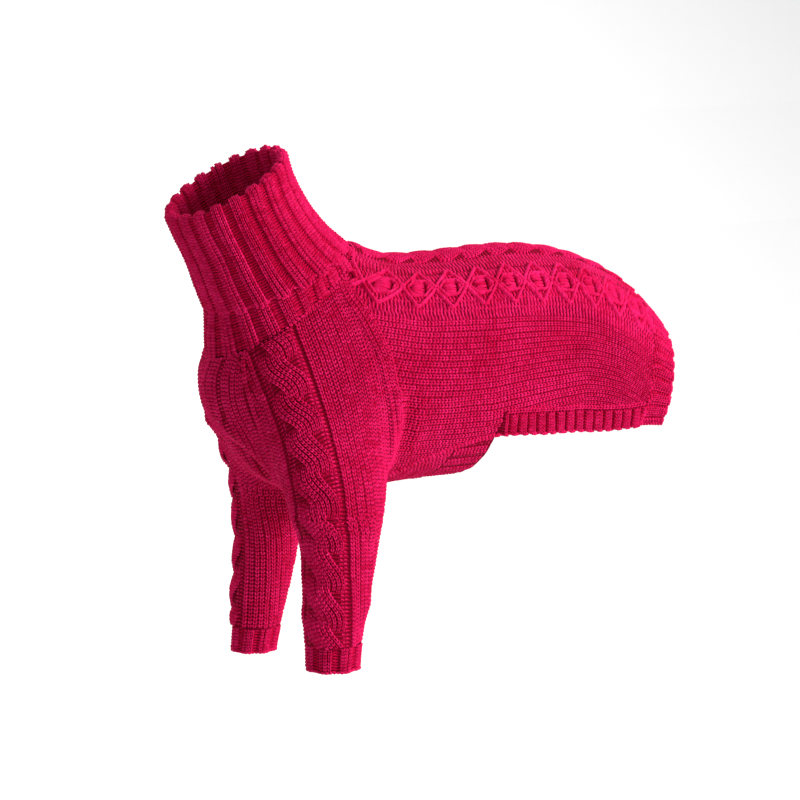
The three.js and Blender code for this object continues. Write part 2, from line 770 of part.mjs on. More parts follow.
function legLoop(side, meet, lower, f) {
  // A point of a loop round the foreleg that starts and ends behind it, under the arm
  const level = meet.z - LOOP_DROP;
  const section = legSection(side, level);
  const start = Math.atan2(meet.y * side - section.out, meet.x - section.x);
  const angle = start - 2 * Math.PI * f;
  const z = THREE.MathUtils.lerp(level, cuffTop(side), lower);
  const here = legSection(side, z);
  const centre = new THREE.Vector3(here.x, here.out * side, z);
  const direction = new THREE.Vector3(Math.cos(angle), Math.sin(angle) * side, 0);
  if (lower > CAST_BELOW) return castOut(centre, direction);
  const guide = new THREE.Vector3(direction.x * here.long, direction.y * here.wide, 0).add(centre);
  const ends = fade(Math.min(f, 1 - f), LOOP_EASE);
  const start3 = meet.clone().lerp(new THREE.Vector3(guide.x, guide.y, z), Math.min(1, lower / CAST_BELOW));
  return lower === 0 && ends === 0 ? meet.clone() : settle(start3.lerp(guide, ends));
}

function sleeveRing(side, rowIndex, samples) {
  // Dense points of one row of the sleeve, from the front seam round the outside to the rear
  const row = Math.min(rowIndex, ROW_UNDERARM);
  const tau = Array.from({ length: samples + 1 }, (_, i) => i / samples);
  if (rowIndex === 0) {
    const front = frontEdgeArc(0, side);
    const rear = rearEdgeArc(0, side);
    return tau.map((f) => ringPoint(0, side, THREE.MathUtils.lerp(front, rear, f)));
  }
  const meet = ringPoint(UNDERARM, side, rearEdgeArc(UNDERARM, side));
  const lower = Math.max(rowIndex - ROW_UNDERARM, 0) / SLEEVE_LOWER_ROWS;
  const loop = (f) => legLoop(side, meet, lower, f);
  if (rowIndex >= ROW_UNDERARM) return tau.map(loop);
  const station = STATIONS[row];
  const rho = row / ROW_UNDERARM;
  const top = (f) => ringPoint(0, side, THREE.MathUtils.lerp(frontEdgeArc(0, side), rearEdgeArc(0, side), f));
  const front = ringPoint(station, side, frontEdgeArc(station, side));
  const rear = ringPoint(station, side, rearEdgeArc(station, side));
  return tau.map((f, i) => {
    if (i === 0) return front.clone();
    if (i === samples) return rear.clone();
    const guide = new THREE.Vector3();
    guide.addScaledVector(top(f), 1 - rho).addScaledVector(loop(f), rho);
    guide.addScaledVector(front, 1 - f).addScaledVector(rear, f);
    guide.addScaledVector(top(0), -(1 - rho) * (1 - f)).addScaledVector(top(1), -(1 - rho) * f);
    guide.addScaledVector(meet, -rho);
    return settle(guide);
  });
}

function cuffTop(side) {
  return (side === LEFT ? LEFT_CUFF_END : RIGHT_CUFF_END) + CUFF_DEEP;
}

function cablePlace(side, points, arcs) {
  // The arc length at which a row crosses the cable's middle line
  const table = side === LEFT ? LEFT_CABLE : RIGHT_CABLE;
  const line = new THREE.CatmullRomCurve3(table.map((p) => new THREE.Vector3(p.x, p.out * side, p.z)));
  const middle = line.getPoints(80);
  let best = Infinity;
  let place = 0;
  points.forEach((p, i) => middle.forEach((m) => {
    const distance = p.distanceToSquared(m);
    if (distance < best) {
      best = distance;
      place = arcs[i];
    }
  }));
  return place;
}

function sleeveRow(side, rowIndex) {
  const points = sleeveRing(side, rowIndex, 96);
  const arcs = [0];
  for (let i = 1; i < points.length; i += 1) arcs.push(arcs[i - 1] + points[i].distanceTo(points[i - 1]));
  const total = arcs.at(-1);
  const centre = cablePlace(side, points, arcs);
  const before = SLEEVE_ROOM_USED * centre / Math.abs(SLEEVE_OFFSETS[0]);
  const behind = SLEEVE_ROOM_USED * (total - centre) / SLEEVE_OFFSETS.at(-1);
  const squeeze = Math.min(1, before, behind);
  const offsets = SLEEVE_OFFSETS.map((offset) => centre + offset * squeeze);
  const places = [
    ...Array.from({ length: SLEEVE_FRONT_COLUMNS }, (_, i) => offsets[0] * i / SLEEVE_FRONT_COLUMNS),
    ...offsets,
    ...steps(offsets.at(-1), total, SLEEVE_REAR_COLUMNS),
  ];
  return places.map((arc) => ({
    point: along(points, arcs, arc),
    across: arc - centre,
    edge: Math.min(arc, total - arc),
  }));
}

function sleeve(name, side) {
  const count = ROW_UNDERARM + SLEEVE_LOWER_ROWS;
  const lines = Array.from({ length: count + 1 }, (_, i) => sleeveRow(side, i));
  const columns = lines[0].length - 1;
  const middle = SLEEVE_FRONT_COLUMNS + Math.floor(SLEEVE_OFFSETS.length / 2);
  let up = 0;
  const grid = lines.map((line, i) => {
    up += i > 0 ? line[middle].point.distanceTo(lines[i - 1][middle].point) : 0;
    const flat = i === 0 ? planeNormal(0) : i === count ? new THREE.Vector3(0, 0, 1) : null;
    const ends = i === 0 || i === count ? 0 : 1;
    return line.map(({ point, across, edge }) => {
      const calm = ends * (i < ROW_UNDERARM ? fade(edge, 6) : 1);
      return clothPoint(point, calm * rope(SLEEVE_CABLE, across, up), flat);
    });
  });
  const upper = grid.slice(0, ROW_UNDERARM + 1);
  shiftEdges(upper, { left: true, right: true, first: planeNormal(0) });
  const tip = grid[ROW_UNDERARM][0];
  tip.shift = new THREE.Vector3(0, 0, -SEAM_GAP);
  grid.at(-1).forEach((cloth) => cloth.shift.set(0, 0, SEAM_GAP / 2));

  const wall = new Wall();
  const idsOf = (source, place, slitRows) => source.map((line, i) => {
    if (i < slitRows) return line.map((cloth) => wall.add(place(cloth)));
    const ids = line.slice(0, -1).map((cloth) => wall.add(place(cloth)));
    return [...ids, ids[0]];
  });
  const outer = idsOf(grid, outerPoint, ROW_UNDERARM);
  const inner = idsOf(thin(grid, 2, 2), innerPoint, ROW_UNDERARM / 2);
  wall.sheet(outer, false);
  wall.sheet(inner, true);
  const slit = ROW_UNDERARM;
  const innerSlit = slit / 2;
  const edge = (ids, j, last) => ids.slice(0, last + 1).map((line) => line[j]);
  wall.rim(edge(outer, 0, slit), edge(inner, 0, innerSlit));
  wall.rim(edge(outer, columns, slit).reverse(), edge(inner, columns / 2, innerSlit).reverse());
  wall.rim(outer.at(-1), inner.at(-1));
  wall.rim([...outer[0]].reverse(), [...inner[0]].reverse());
  return wall.mesh(name);
}

function cuff(name, side) {
  const columns = CUFF_RIBS * CUFF_COLUMNS_PER_RIB;
  const levels = [0, 0.15, 0.6, 1].map((f) => cuffTop(side) - CUFF_DEEP * f);
  const grid = levels.map((z, i) => Array.from({ length: columns }, (_, k) => {
    const section = legSection(side, z);
    const angle = -2 * Math.PI * k / columns;
    const centre = new THREE.Vector3(section.x, section.out * side, z);
    const direction = new THREE.Vector3(Math.cos(angle), Math.sin(angle) * side, 0);
    const raise = i === 0 ? 0 : ribHeight({ high: RIB.high * 0.8, pitch: CUFF_COLUMNS_PER_RIB }, k);
    return clothPoint(castOut(centre, direction), raise, new THREE.Vector3(0, 0, 1));
  }));
  grid[0].forEach((cloth) => cloth.shift.set(0, 0, -SEAM_GAP / 2));
  return tube(name, grid, 3, CUFF_INNER_STEP);
}

// Roll neck: one tube of rib that rises from the seam, folds outward and comes down again

function neckRing(place, inset, turn) {
  // A point of a flat ring of the turned-down layer, moved in from its outer face
  const row = blendRows(TURNED_DOWN, place);
  const back = new THREE.Vector3(row.backX, 0, row.backZ);
  const front = new THREE.Vector3(row.frontX, 0, row.frontZ);
  const centre = back.clone().add(front).divideScalar(2);
  const reach = back.distanceTo(front) / 2;
  const ahead = back.sub(front).normalize();
  const normal = new THREE.Vector2(Math.cos(turn) / reach, Math.sin(turn) / row.half).normalize();
  const u = Math.cos(turn) * reach - normal.x * inset;
  const y = Math.sin(turn) * row.half - normal.y * inset;
  return centre.addScaledVector(ahead, u).add(new THREE.Vector3(0, y, 0));
}

function baseRing(turn, inset) {
  const side = Math.sin(turn) < 0 ? LEFT : RIGHT;
  const angle = Math.abs(Math.atan2(Math.sin(turn), Math.cos(turn)));
  const point = ringPoint(0, side, arcAt(0, side, THREE.MathUtils.radToDeg(angle)));
  const normal = outward(point);
  const flat = planeNormal(0);
  normal.addScaledVector(flat, -normal.dot(flat)).normalize();
  return point.addScaledVector(normal, -inset).addScaledVector(flat, -SEAM_GAP / 2);
}

function collar() {
  const wall = new Wall();
  const columns = COLLAR_RIBS * COLLAR_COLUMNS_PER_RIB;
  const last = TURNED_DOWN.length - 1;
  const layer = WALL + COLLAR_LAYER_GAP;
  const turns = Array.from({ length: columns }, (_, k) => 2 * Math.PI * k / columns);
  const close = (line) => [...line, line[0]];
  const ringOf = (list, place) => close(list.map((turn, k) => wall.add(place(turn, k))));
  const rib = (k) => ribHeight({ high: RIB.high, pitch: COLLAR_COLUMNS_PER_RIB }, k);
  const coarse = everySecond(turns, COLLAR_COLUMNS_PER_RIB);
  const rise = blendRows(TURNED_DOWN, last);
  const before = blendRows(TURNED_DOWN, last - 0.5);
  const up = new THREE.Vector3(
    rise.backX + rise.frontX - before.backX - before.frontX, 0,
    rise.backZ + rise.frontZ - before.backZ - before.frontZ,
  ).normalize();

  // Outer side, from the seam up under the fold, down inside it, and over to the top
  const under = (f, turn, k) => {
    const upper = neckRing(0.4, layer + RIB.high, turn);
    return baseRing(turn, 0).lerp(upper, f).addScaledVector(outwardOf(turn), f > 0 ? rib(k) * 0.8 : 0);
  };
  const outwardOf = (turn) => neckRing(0, -1, turn).sub(neckRing(0, 0, turn));
  const lines = [
    ringOf(turns, (turn, k) => under(0, turn, k)),
    ringOf(turns, (turn, k) => under(0.25, turn, k)),
    ringOf(turns, (turn, k) => under(1, turn, k)),
    ringOf(turns, (turn) => neckRing(0.7, layer - 0.4, turn)),
    ringOf(turns, (turn) => neckRing(0.6, WALL, turn)),
    ringOf(turns, (turn) => neckRing(0, WALL, turn)),
  ];
  for (let i = 0; i <= COLLAR_ROWS; i += 1) {
    lines.push(ringOf(turns, (turn, k) => neckRing(last * i / COLLAR_ROWS, -rib(k), turn)));
  }
  lines.push(ringOf(turns, (turn, k) => (
    neckRing(last, layer / 2 - rib(k) / 2, turn).addScaledVector(up, FOLD_RISE * 0.8))));
  wall.sheet(lines, true);

  // Plain inner side, from the fold down to the seam
  const inside = [
    ringOf(coarse, (turn) => neckRing(last, layer + 1, turn).addScaledVector(up, FOLD_RISE * 0.8)),
    ...[1, 0.66, 0.33].map((f) => ringOf(coarse, (turn) => neckRing(last * f, layer + WALL, turn))),
    ringOf(coarse, (turn) => neckRing(0, layer + WALL + RIB.high / 2, turn)),
    ringOf(coarse, (turn) => baseRing(turn, WALL)),
  ];
  wall.sheet(inside, true);
  wall.rim([...lines.at(-1)].reverse(), [...inside[0]].reverse());
  wall.rim(lines[0], inside.at(-1));
  return wall.mesh('collar');
}

const sweater = new THREE.Group();
sweater.name = 'dog_sweater';
const belowCollar = planeNormal(0);
sweater.add(
  collar(),
  backPanel(),
  underPiece('chest_panel', 0, ROW_BELLY_BAND, CHEST_COLUMNS, false, {
    left: true, right: true, first: belowCollar, last: planeNormal(BELLY_BAND),
  }),
  underPiece('hem_belly', ROW_BELLY_BAND, ROW_BELLY_END, 6 * COLUMNS_PER_RIB, true, {
    left: true, right: true, first: planeNormal(BELLY_BAND),
  }),
  rearBand(),
  sideBand('hem_side_left', LEFT),
  sideBand('hem_side_right', RIGHT),
  sleeve('sleeve_left', LEFT),
  sleeve('sleeve_right', RIGHT),
  cuff('cuff_left', LEFT),
  cuff('cuff_right', RIGHT),
);

export default sweater;
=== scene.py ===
# The knit of a roll-neck dog sweater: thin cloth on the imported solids' form, and its stitches.
# The tables and the shape are in millimetres, as in the CAD. Meshes are made in metres.
# The neck points to -X, the left side faces -Y, and the origin is on the spine at the withers.
import math

import bmesh
import bpy
import numpy as np
from mathutils import Euler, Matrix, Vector


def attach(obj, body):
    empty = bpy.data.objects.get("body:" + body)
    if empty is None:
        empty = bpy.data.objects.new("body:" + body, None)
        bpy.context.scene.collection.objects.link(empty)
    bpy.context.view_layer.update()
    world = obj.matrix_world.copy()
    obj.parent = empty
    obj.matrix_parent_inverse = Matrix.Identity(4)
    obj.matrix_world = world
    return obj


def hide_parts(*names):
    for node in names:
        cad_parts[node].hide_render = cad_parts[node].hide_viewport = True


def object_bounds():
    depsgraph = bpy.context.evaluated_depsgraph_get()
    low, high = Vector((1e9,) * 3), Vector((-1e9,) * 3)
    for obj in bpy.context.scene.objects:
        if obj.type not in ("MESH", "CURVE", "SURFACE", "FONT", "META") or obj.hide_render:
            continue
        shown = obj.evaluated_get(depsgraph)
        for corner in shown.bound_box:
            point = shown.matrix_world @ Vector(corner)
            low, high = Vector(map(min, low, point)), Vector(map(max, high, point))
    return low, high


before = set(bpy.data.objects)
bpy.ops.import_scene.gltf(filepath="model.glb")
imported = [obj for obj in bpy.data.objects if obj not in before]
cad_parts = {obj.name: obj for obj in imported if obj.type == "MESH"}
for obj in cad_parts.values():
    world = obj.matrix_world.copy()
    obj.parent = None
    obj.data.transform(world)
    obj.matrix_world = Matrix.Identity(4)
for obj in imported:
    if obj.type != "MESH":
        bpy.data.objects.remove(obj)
CAD_BOX = [list(map(float, corner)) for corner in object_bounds()]

MM = 0.001
LEFT = -1
RIGHT = 1
SIDES = {LEFT: "left", RIGHT: "right"}
rng = np.random.default_rng(7)

# Stations along the trunk: spine point x z, chest point x z, half width, widest, fullness
TRUNK = np.array([
    [-2, 3, -142, -90, 56, 0.5, 2],
    [7, -1, -149, -112, 63, 0.5, 2],
    [18, -7, -143, -142, 74, 0.48, 2],
    [31, -11, -121, -175, 83, 0.46, 2],
    [45, -13, -95, -204, 88, 0.45, 2],
    [62, -14, -56, -220, 89, 0.45, 2],
    [84, -14, 0, -222, 89, 0.45, 2],
    [112, -13, 60, -220, 87, 0.45, 2],
    [146, -12, 118, -220, 83, 0.46, 2.1],
    [185, -14, 168, -218, 79, 0.48, 2.2],
    [225, -22, 208, -212, 77, 0.5, 2.3],
    [265, -39, 245, -210, 76, 0.52, 2.3],
    [300, -63, 276, -210, 71, 0.52, 2.3],
    [328, -95, 309, -212, 64, 0.5, 2.3],
])

# Level sections of each foreleg sleeve: z, centre x, outward from the spine, half sizes
LEGS = {
    LEFT: np.array([
        [-380, -68, 88, 23, 22],
        [-340, -66, 87, 25.5, 24],
        [-300, -61, 84, 30, 28],
        [-250, -55, 78, 37, 33],
        [-210, -54, 70, 47, 37],
        [-170, -56, 62, 54, 38],
        [-120, -56, 50, 56, 36],
        [-80, -58, 40, 50, 30],
        [-50, -60, 30, 40, 22],
    ]),
    RIGHT: np.array([
        [-410, -66, 80, 20, 19],
        [-370, -61, 79, 22, 21],
        [-320, -53, 77, 26, 25],
        [-270, -48, 74, 30, 29],
        [-220, -48, 69, 36, 34],
        [-170, -54, 62, 51, 38],
        [-120, -56, 50, 56, 36],
        [-80, -58, 40, 50, 30],
        [-50, -60, 30, 40, 22],
    ]),
}
CREASE = 26

# Raglan seams: station, angle of the seam behind the sleeve, angle of the one before it
RAGLANS = np.array([
    [0, 43, 154],
    [1, 47, 151],
    [2, 55, 152],
    [3, 68, 156],
    [4, 80, 162],
    [4.6, 92, 167],
    [5, 102, 169.5],
    [5.5, 122, 168],
    [5.85, 145, 163],
    [6, 160, 160],
])
# Lower edge of the back piece behind the foreleg: station, angle
SIDE_EDGE = np.array([
    [6, 160],
    [6.5, 149],
    [7, 142],
    [7.8, 135.5],
    [9, 137],
    [10.3, 137],
    [11.5, 132],
    [11.9, 129.5],
    [12.05, 125.5],
    [12.85, 121.5],
])
UNDERARM = 6
BELLY_BAND = 7.1
BELLY_END = 7.8
REAR_BAND = 11.9
REAR_END = 12.85
SIDE_BAND_DEEP = 25

# Middle line of the cable of each sleeve: x, outward, z
CABLES = {
    LEFT: np.array([
        [-108, 51, -64],
        [-101, 74, -111],
        [-91, 90, -163],
        [-87, 99, -215],
        [-86, 103, -270],
        [-85, 106, -343],
    ]),
    RIGHT: np.array([
        [-108, 51, -64],
        [-101, 74, -111],
        [-92, 90, -163],
        [-86, 97, -215],
        [-82, 98, -290],
        [-81, 96, -370],
    ]),
}
RAGLAN_STEPS = np.array([0, 0.7, 1.4, 2.1, 2.8, 3.4, 4, 4.5, 4.85, 5.15, 5.4, 5.6, 5.76, 5.9, 6])
ROW_UNDERARM = len(RAGLAN_STEPS) - 1
SLEEVE_LOWER_ROWS = 14
SLEEVE_SPLIT = 2
SLEEVE_ROWS = (ROW_UNDERARM + SLEEVE_LOWER_ROWS) * SLEEVE_SPLIT + 1
LOOP_DROP = 16
LOOP_EASE = 0.16
CAST_BELOW = 0.22
CUFF_DEEP = 24
CUFF_END = {LEFT: -366, RIGHT: -390}

# Roll neck, outer face from the loose edge up to the fold: back x z, front x z, half width
TURNED_DOWN = np.array([
    [-14, 10, -142, -47, 60],
    [-34, 27, -150, -27, 58],
    [-52, 49, -158, -5, 56],
    [-65, 73, -168, 15, 55],
    [-71, 92, -177, 34, 55],
])
COLLAR_RIBS = 20
COLLAR_RADIUS = 58
COLLAR_LAYER_GAP = 1.2
FOLD_RISE = 4.5
COLLAR_SPLIT = 8
# No stitches lie where the fold hides them: points kept of a wale under it, and points of its
# lining left out
UNDER_SEEN = 6
LINING_HIDDEN = 12

# Folds, soft ridges and troughs: from x out z, to x out z, width, height, side (0 is both)
FOLDS = np.array([
    [-136, 18, -150, -96, 44, -200, 7, 4, 0],
    [-128, 14, -170, -88, 38, -212, 6, -3, 0],
    [-122, 8, -186, -76, 30, -222, 7, 4, 0],
    [0, 90, -120, -2, 84, -190, 6, 3, 0],
    [14, 90, -128, 12, 78, -196, 6, -3, 0],
    [26, 88, -150, 22, 66, -208, 7, 3, 0],
    [78, 70, -194, 118, 60, -200, 6, 3.5, 0],
    [74, 60, -206, 116, 52, -209, 5, -2.5, 0],
    [66, 44, -217, 112, 38, -219, 6, 3.5, 0],
    [60, 16, -226, 112, 12, -226, 7, 3, 0],
    [-112, 62, -228, -36, 112, -236, 8, 2.5, -1],
    [-106, 66, -262, -30, 104, -256, 8, -2.5, -1],
    [-108, 64, -250, -34, 100, -244, 8, 2.2, 1],
    [-104, 66, -300, -34, 98, -292, 9, -2, 1],
    [-100, 70, -318, -34, 104, -308, 10, 2, -1],
    [70, 78, -170, 190, 76, -128, 13, 2, 0],
    [84, 80, -140, 196, 74, -98, 12, -1.8, 0],
    [190, 76, -150, 262, 62, -108, 12, 1.8, 0],
    [8, 62, -62, 40, 82, -128, 10, -2, 0],
    [214, 30, -58, 236, 66, -96, 11, -1.6, 0],
])

# Knit
WALL = 3
CLOTH_DEEP = 2.6
SEAM_LAP = 0.8
WALE = 5.2
ROW = 3.6
STITCH_HIGH = 1.9
EDGE_ROOM = 1.5
# How uneven the stitches are: tone, sway of a wale, lean, width, height, lean of purl wales,
# and shift of the yarn's twist
TONE_SPREAD = 0.14
SWAY = 0.25
SWAY_STEP = 24
JITTER = 0.06
WIDTH_SPREAD = 0.03
HEIGHT_SPREAD = 0.07
PURL_SKEW = 0.12
TWIST_SHIFT = 4

# Ropes: half width, height, length of half a twist, wales of a strand, share of the width
# that a strand takes, and how far one strand dips under the other
SPINE_CABLE = {"half": 24, "high": 3.4, "repeat": 27, "wales": 8, "share": 0.72, "dip": 0.3}
SLEEVE_CABLE = {"half": 19.5, "high": 3.6, "repeat": 35, "wales": 6, "share": 0.63, "dip": 0.8}
ROPE_FADE = 12
ROPE_HIDDEN = -0.7
# Painted shade on a strand where it passes under the other
ROPE_UNDER_PAINTED_SHADE = 0.35
# Shares of a rope's height: the bulge of the cloth, the edge of a strand, and its crown
ROPE_BULGE = 0.55
STRAND_EDGE = 0.28
STRAND_CROWN = 0.5
STRAND_ROUND = 1.08

# Back, as distances from the spine: purl wales, and the lattice on them
ROPE_PURL = (22.5, 27.5, 32.0, 36.5, 41.0)
ROPE_PURL_WALE = 5.2
LATTICE_PURL = 11
LATTICE_PURL_WALE = 5.6
PURL_INSET = 2.5
SEAM_INSET = 2.2
BAND_SEAM_INSET = 2.6
LATTICE_FROM = 45
LATTICE_TO = 82
LATTICE_MIDDLE = (LATTICE_FROM + LATTICE_TO) / 2
LATTICE_HALF = (LATTICE_TO - LATTICE_FROM) / 2
LATTICE_REPEAT = 29
PURL_UNTIL = 98
# Cords of the lattice: the outer line, the inner one, and the cells between
OUTER_CORD = 3.4
INNER_CORD = 2.6
CORD_CLEAR = 1.6
CORD_GAP = 5.8
CORD_SKEW = 0.06
CELL_HALF = 8.4
CELL_BARS = (-5.2, -1.8, 1.7, 5.1)
CELL_BAR_SPAN = (-6.4, 5.4)
CROSS_BAR_ABOVE = 8.4
CROSS_BAR_HALF = 5.5
KNOT_SHIFTS = (-0.12, 0.0, 0.12)
KNOT_HALF = 4.2
# Width of a wale of the side along the trunk: station, share of WALE
WALE_SPREAD = np.array([
    [0, 1.1],
    [6, 1.1],
    [7.5, 1.05],
    [9.8, 0.78],
    [12, 0.62],
])

# Sleeve, beside the rope: purl wales by distance in from its edge, lift, and painted shade, darkest on
# the low wale at the channel's outer edge
CHANNEL_WALES = ((8.5, 0.7, 0.0), (4.5, 0.5, 0.05), (0.5, -0.2, 0.2), (-2.6, -1.2, 0.6))
CHANNEL = 4.8
CHANNEL_SKEW = 0.4
BESIDE_CHANNEL_LIFT = 1.0
# Room left free at the sleeve's edges, and the wales that follow its raglan seams there
LOOSE_ROOM = 1.2
RAGLAN_ROOM = {"before": 4.6, "behind": 8.8}
RAGLAN_WALES = {"before": (2.8,), "behind": (2.6, 7.6)}

# Ribs
RIB_PITCH = 14.5
SIDE_RIB_PITCH = 10.8
SIDE_RIB_LEAN = 0.33
CUFF_RIBS = 8
# Chest and belly: the wale of the chest's two grooves, and the wales in a rib of the belly band
CHEST_GROOVE = 4
BELLY_RIB = 3

# Colours of the yarn, between which its random tone and its painted shade choose, and of the cloth
# behind it, darker as painted shade between the stitches
YARN_DARK = (0.57, 0.0002, 0.050)
YARN_LIGHT = (0.88, 0.014, 0.160)
GROUND_PAINTED_SHADE_DARK = (0.16, 0.0002, 0.012)
GROUND_PAINTED_SHADE_LIGHT = (0.38, 0.0006, 0.032)
PAPER_DARK = (0.90, 0.90, 0.90)
PAPER_LIGHT = (0.94, 0.94, 0.94)

# Studio, in metres: lights by place, target, size and power
LIGHTS = {
    "key": ((1.6, -2.1, 1.0), (0.08, 0, -0.12), (0.8, 0.8), 90),
    "fill": ((-1.7, -1.4, 0.3), (0.0, 0, -0.15), (1.6, 1.6), 2),
    "top": ((0.2, 0.4, 2.0), (0.1, 0, -0.1), (1.6, 1.0), 3),
    "backdrop": ((0.5, 0.9, 1.6), (0.7, 2.6, -0.3), (3.2, 0.6), 58),
}
WORLD_STRENGTH = 0.38
FLOOR_SIZE = 9
FLOOR_CUTS = 40
FLOOR_MIDDLE = (0.1, 0.6)
FLOOR_BELOW = 0.8
FLOOR_BENDS_AT = 0.4
FLOOR_BEND = 0.28

# Camera: angles, distance in metres, and where one point of the garment lies in the frame
AZIMUTH = math.radians(-30)
ELEVATION = math.radians(12)
CAMERA_FAR = 2.8
FRAME_PIXELS = 800
TARGET = (0.090, 0.0, -0.190)
TARGET_PIXEL = (435.47, 440.53)
SENSOR = 36
FOCAL_PIXELS = 2978.7

# Sampling of the skin, in stations, degrees and millimetres
STATION_SPLIT = 8
ANGLE_STEP = 3
ANGLES = np.radians(np.arange(0, 180 + ANGLE_STEP, ANGLE_STEP))
CAST_REACH = 170
CAST_STEPS = 48
CAST_HALVINGS = 14
SETTLE_STEPS = 7
LEAST_STEEP = 0.2
SLOPE_STEP = 0.4
SKIN_BATCH = 30000
ARC_STEP = 2.0
JUST_OVER_ONE = 1.001
# Points along the lines of the knit, round a leg, and down the cable of a sleeve
BACK_POINTS = 700
SLEEVE_POINTS = 600
UNDER_POINTS = 500
RIM_POINTS = 500
SEAM_POINTS = 300
CABLE_POINTS = 300
LEG_POINTS = 97


# Curves and grids

def blend_rows(table, place):
    """A smooth curve through the rows of a table, at places counted in rows"""
    last = len(table) - 1
    at = np.clip(np.asarray(place, float), 0, last)
    i = np.minimum(at.astype(int), last - 1)
    f = (at - i)[..., None]
    ends = np.vstack([2 * table[0] - table[1], table, 2 * table[-1] - table[-2]])
    a, b, c, d = (ends[i + k] for k in range(4))
    return 0.5 * (
        2 * b + (c - a) * f + (2 * a - 5 * b + 4 * c - d) * f**2 + (3 * b - a - 3 * c + d) * f**3
    )


def unit(v):
    return v / np.maximum(np.linalg.norm(v, axis=-1, keepdims=True), 1e-9)


def fade(distance, width):
    f = np.clip(distance / width, 0, 1)
    return f * f * (3 - 2 * f)


def pairs(u, v):
    """Two values for every point of a grid"""
    return np.stack(np.broadcast_arrays(u, v), axis=-1)


def running_length(points):
    step = np.linalg.norm(np.diff(points, axis=-2), axis=-1)
    start = np.zeros(step.shape[:-1] + (1,))
    return np.concatenate([start, np.cumsum(step, axis=-1)], axis=-1)


def read_at(places, column, points):
    return np.stack([np.interp(places, column, points[:, k]) for k in range(3)], axis=-1)


def read_grid(grid, row, column):
    """A grid read between its points, at places counted in rows and columns"""
    row, column = np.broadcast_arrays(np.asarray(row, float), np.asarray(column, float))
    i = np.clip(row, 0, grid.shape[0] - JUST_OVER_ONE)
    j = np.clip(column, 0, grid.shape[1] - JUST_OVER_ONE)
    i0, j0 = i.astype(int), j.astype(int)
    fi, fj = i - i0, j - j0
    if grid.ndim == 3:
        fi, fj = fi[..., None], fj[..., None]
    near = grid[i0, j0] * (1 - fj) + grid[i0, j0 + 1] * fj
    far = grid[i0 + 1, j0] * (1 - fj) + grid[i0 + 1, j0 + 1] * fj
    return near * (1 - fi) + far * fi


def stretches(mask, least):
    """First and last index of each stretch where the mask holds"""
    padded = np.concatenate([[False], mask, [False]])
    change = np.flatnonzero(np.diff(padded.astype(int)))
    return [(a, b) for a, b in zip(change[::2], change[1::2]) if b - a >= least]


# The skin that the knit lies on: negative inside it

SECTIONS = blend_rows(TRUNK, np.arange((len(TRUNK) - 1) * STATION_SPLIT + 1) / STATION_SPLIT)
TRUNK_ROWS = len(SECTIONS)
TOP = SECTIONS[:, 0:2]
DOWN = SECTIONS[:, 2:4] - TOP
DOWN_LONG = np.linalg.norm(DOWN, axis=1)


def trunk_depth(p):
    """Depth in the section through each point, which is found between its two neighbours"""
    x, z = p[:, 0, None], p[:, 2, None]
    ahead = (DOWN[:, 0] * (z - TOP[:, 1]) - DOWN[:, 1] * (x - TOP[:, 0])) / DOWN_LONG
    behind = ahead[:, 1:-1] <= 0
    k = np.where(behind.any(axis=1), behind.argmax(axis=1), TRUNK_ROWS - 2)
    who = np.arange(len(p))
    before, after = ahead[who, k], ahead[who, k + 1]
    gap = before - after
    f = np.clip(before / np.where(np.abs(gap) < 1e-9, 1e-9, gap), 0, 1)[:, None]
    row = SECTIONS[k] * (1 - f) + SECTIONS[k + 1] * f
    down = DOWN[k] * (1 - f) + DOWN[k + 1] * f
    long = np.linalg.norm(down, axis=1)
    along = ((p[:, 0] - row[:, 0]) * down[:, 0] + (p[:, 2] - row[:, 1]) * down[:, 1]) / long
    half, widest, fullness = row[:, 4], row[:, 5], row[:, 6]
    from_widest = along - widest * long
    reach = np.where(from_widest < 0, widest, 1 - widest) * long
    ratio = np.abs(from_widest / reach) ** fullness + np.abs(p[:, 1] / half) ** fullness
    ratio = np.maximum(ratio ** (1 / fullness), 1e-3)
    return np.hypot(from_widest, p[:, 1]) * (1 - 1 / ratio)


def leg_section(side, z):
    legs = LEGS[side]
    return blend_rows(legs, np.interp(z, legs[:, 0], np.arange(len(legs))))


def leg_depth(p, side):
    section = leg_section(side, p[:, 2])
    dx = p[:, 0] - section[:, 1]
    dy = p[:, 1] * side - section[:, 2]
    ratio = np.maximum(np.hypot(dx / section[:, 3], dy / section[:, 4]), 1e-3)
    return np.hypot(dx, dy) * (1 - 1 / ratio) + np.maximum(p[:, 2] - LEGS[side][-1, 0], 0)


def skin(points):
    """Signed depth of points of any shape, last axis xyz"""
    flat = points.reshape(-1, 3)
    depth = np.empty(len(flat))
    for first in range(0, len(flat), SKIN_BATCH):
        p = flat[first:first + SKIN_BATCH]
        trunk_deep = trunk_depth(p)
        leg = np.where(p[:, 1] < 0, leg_depth(p, LEFT), leg_depth(p, RIGHT))
        overlap = np.maximum(CREASE - np.abs(trunk_deep - leg), 0) / CREASE
        depth[first:first + SKIN_BATCH] = np.minimum(trunk_deep, leg) - overlap**2 * CREASE / 4
    return depth.reshape(points.shape[:-1])


def slope(points):
    moves = np.concatenate([np.eye(3), -np.eye(3)]) * SLOPE_STEP
    depth = skin(points[..., None, :] + moves)
    return (depth[..., :3] - depth[..., 3:]) / (2 * SLOPE_STEP)


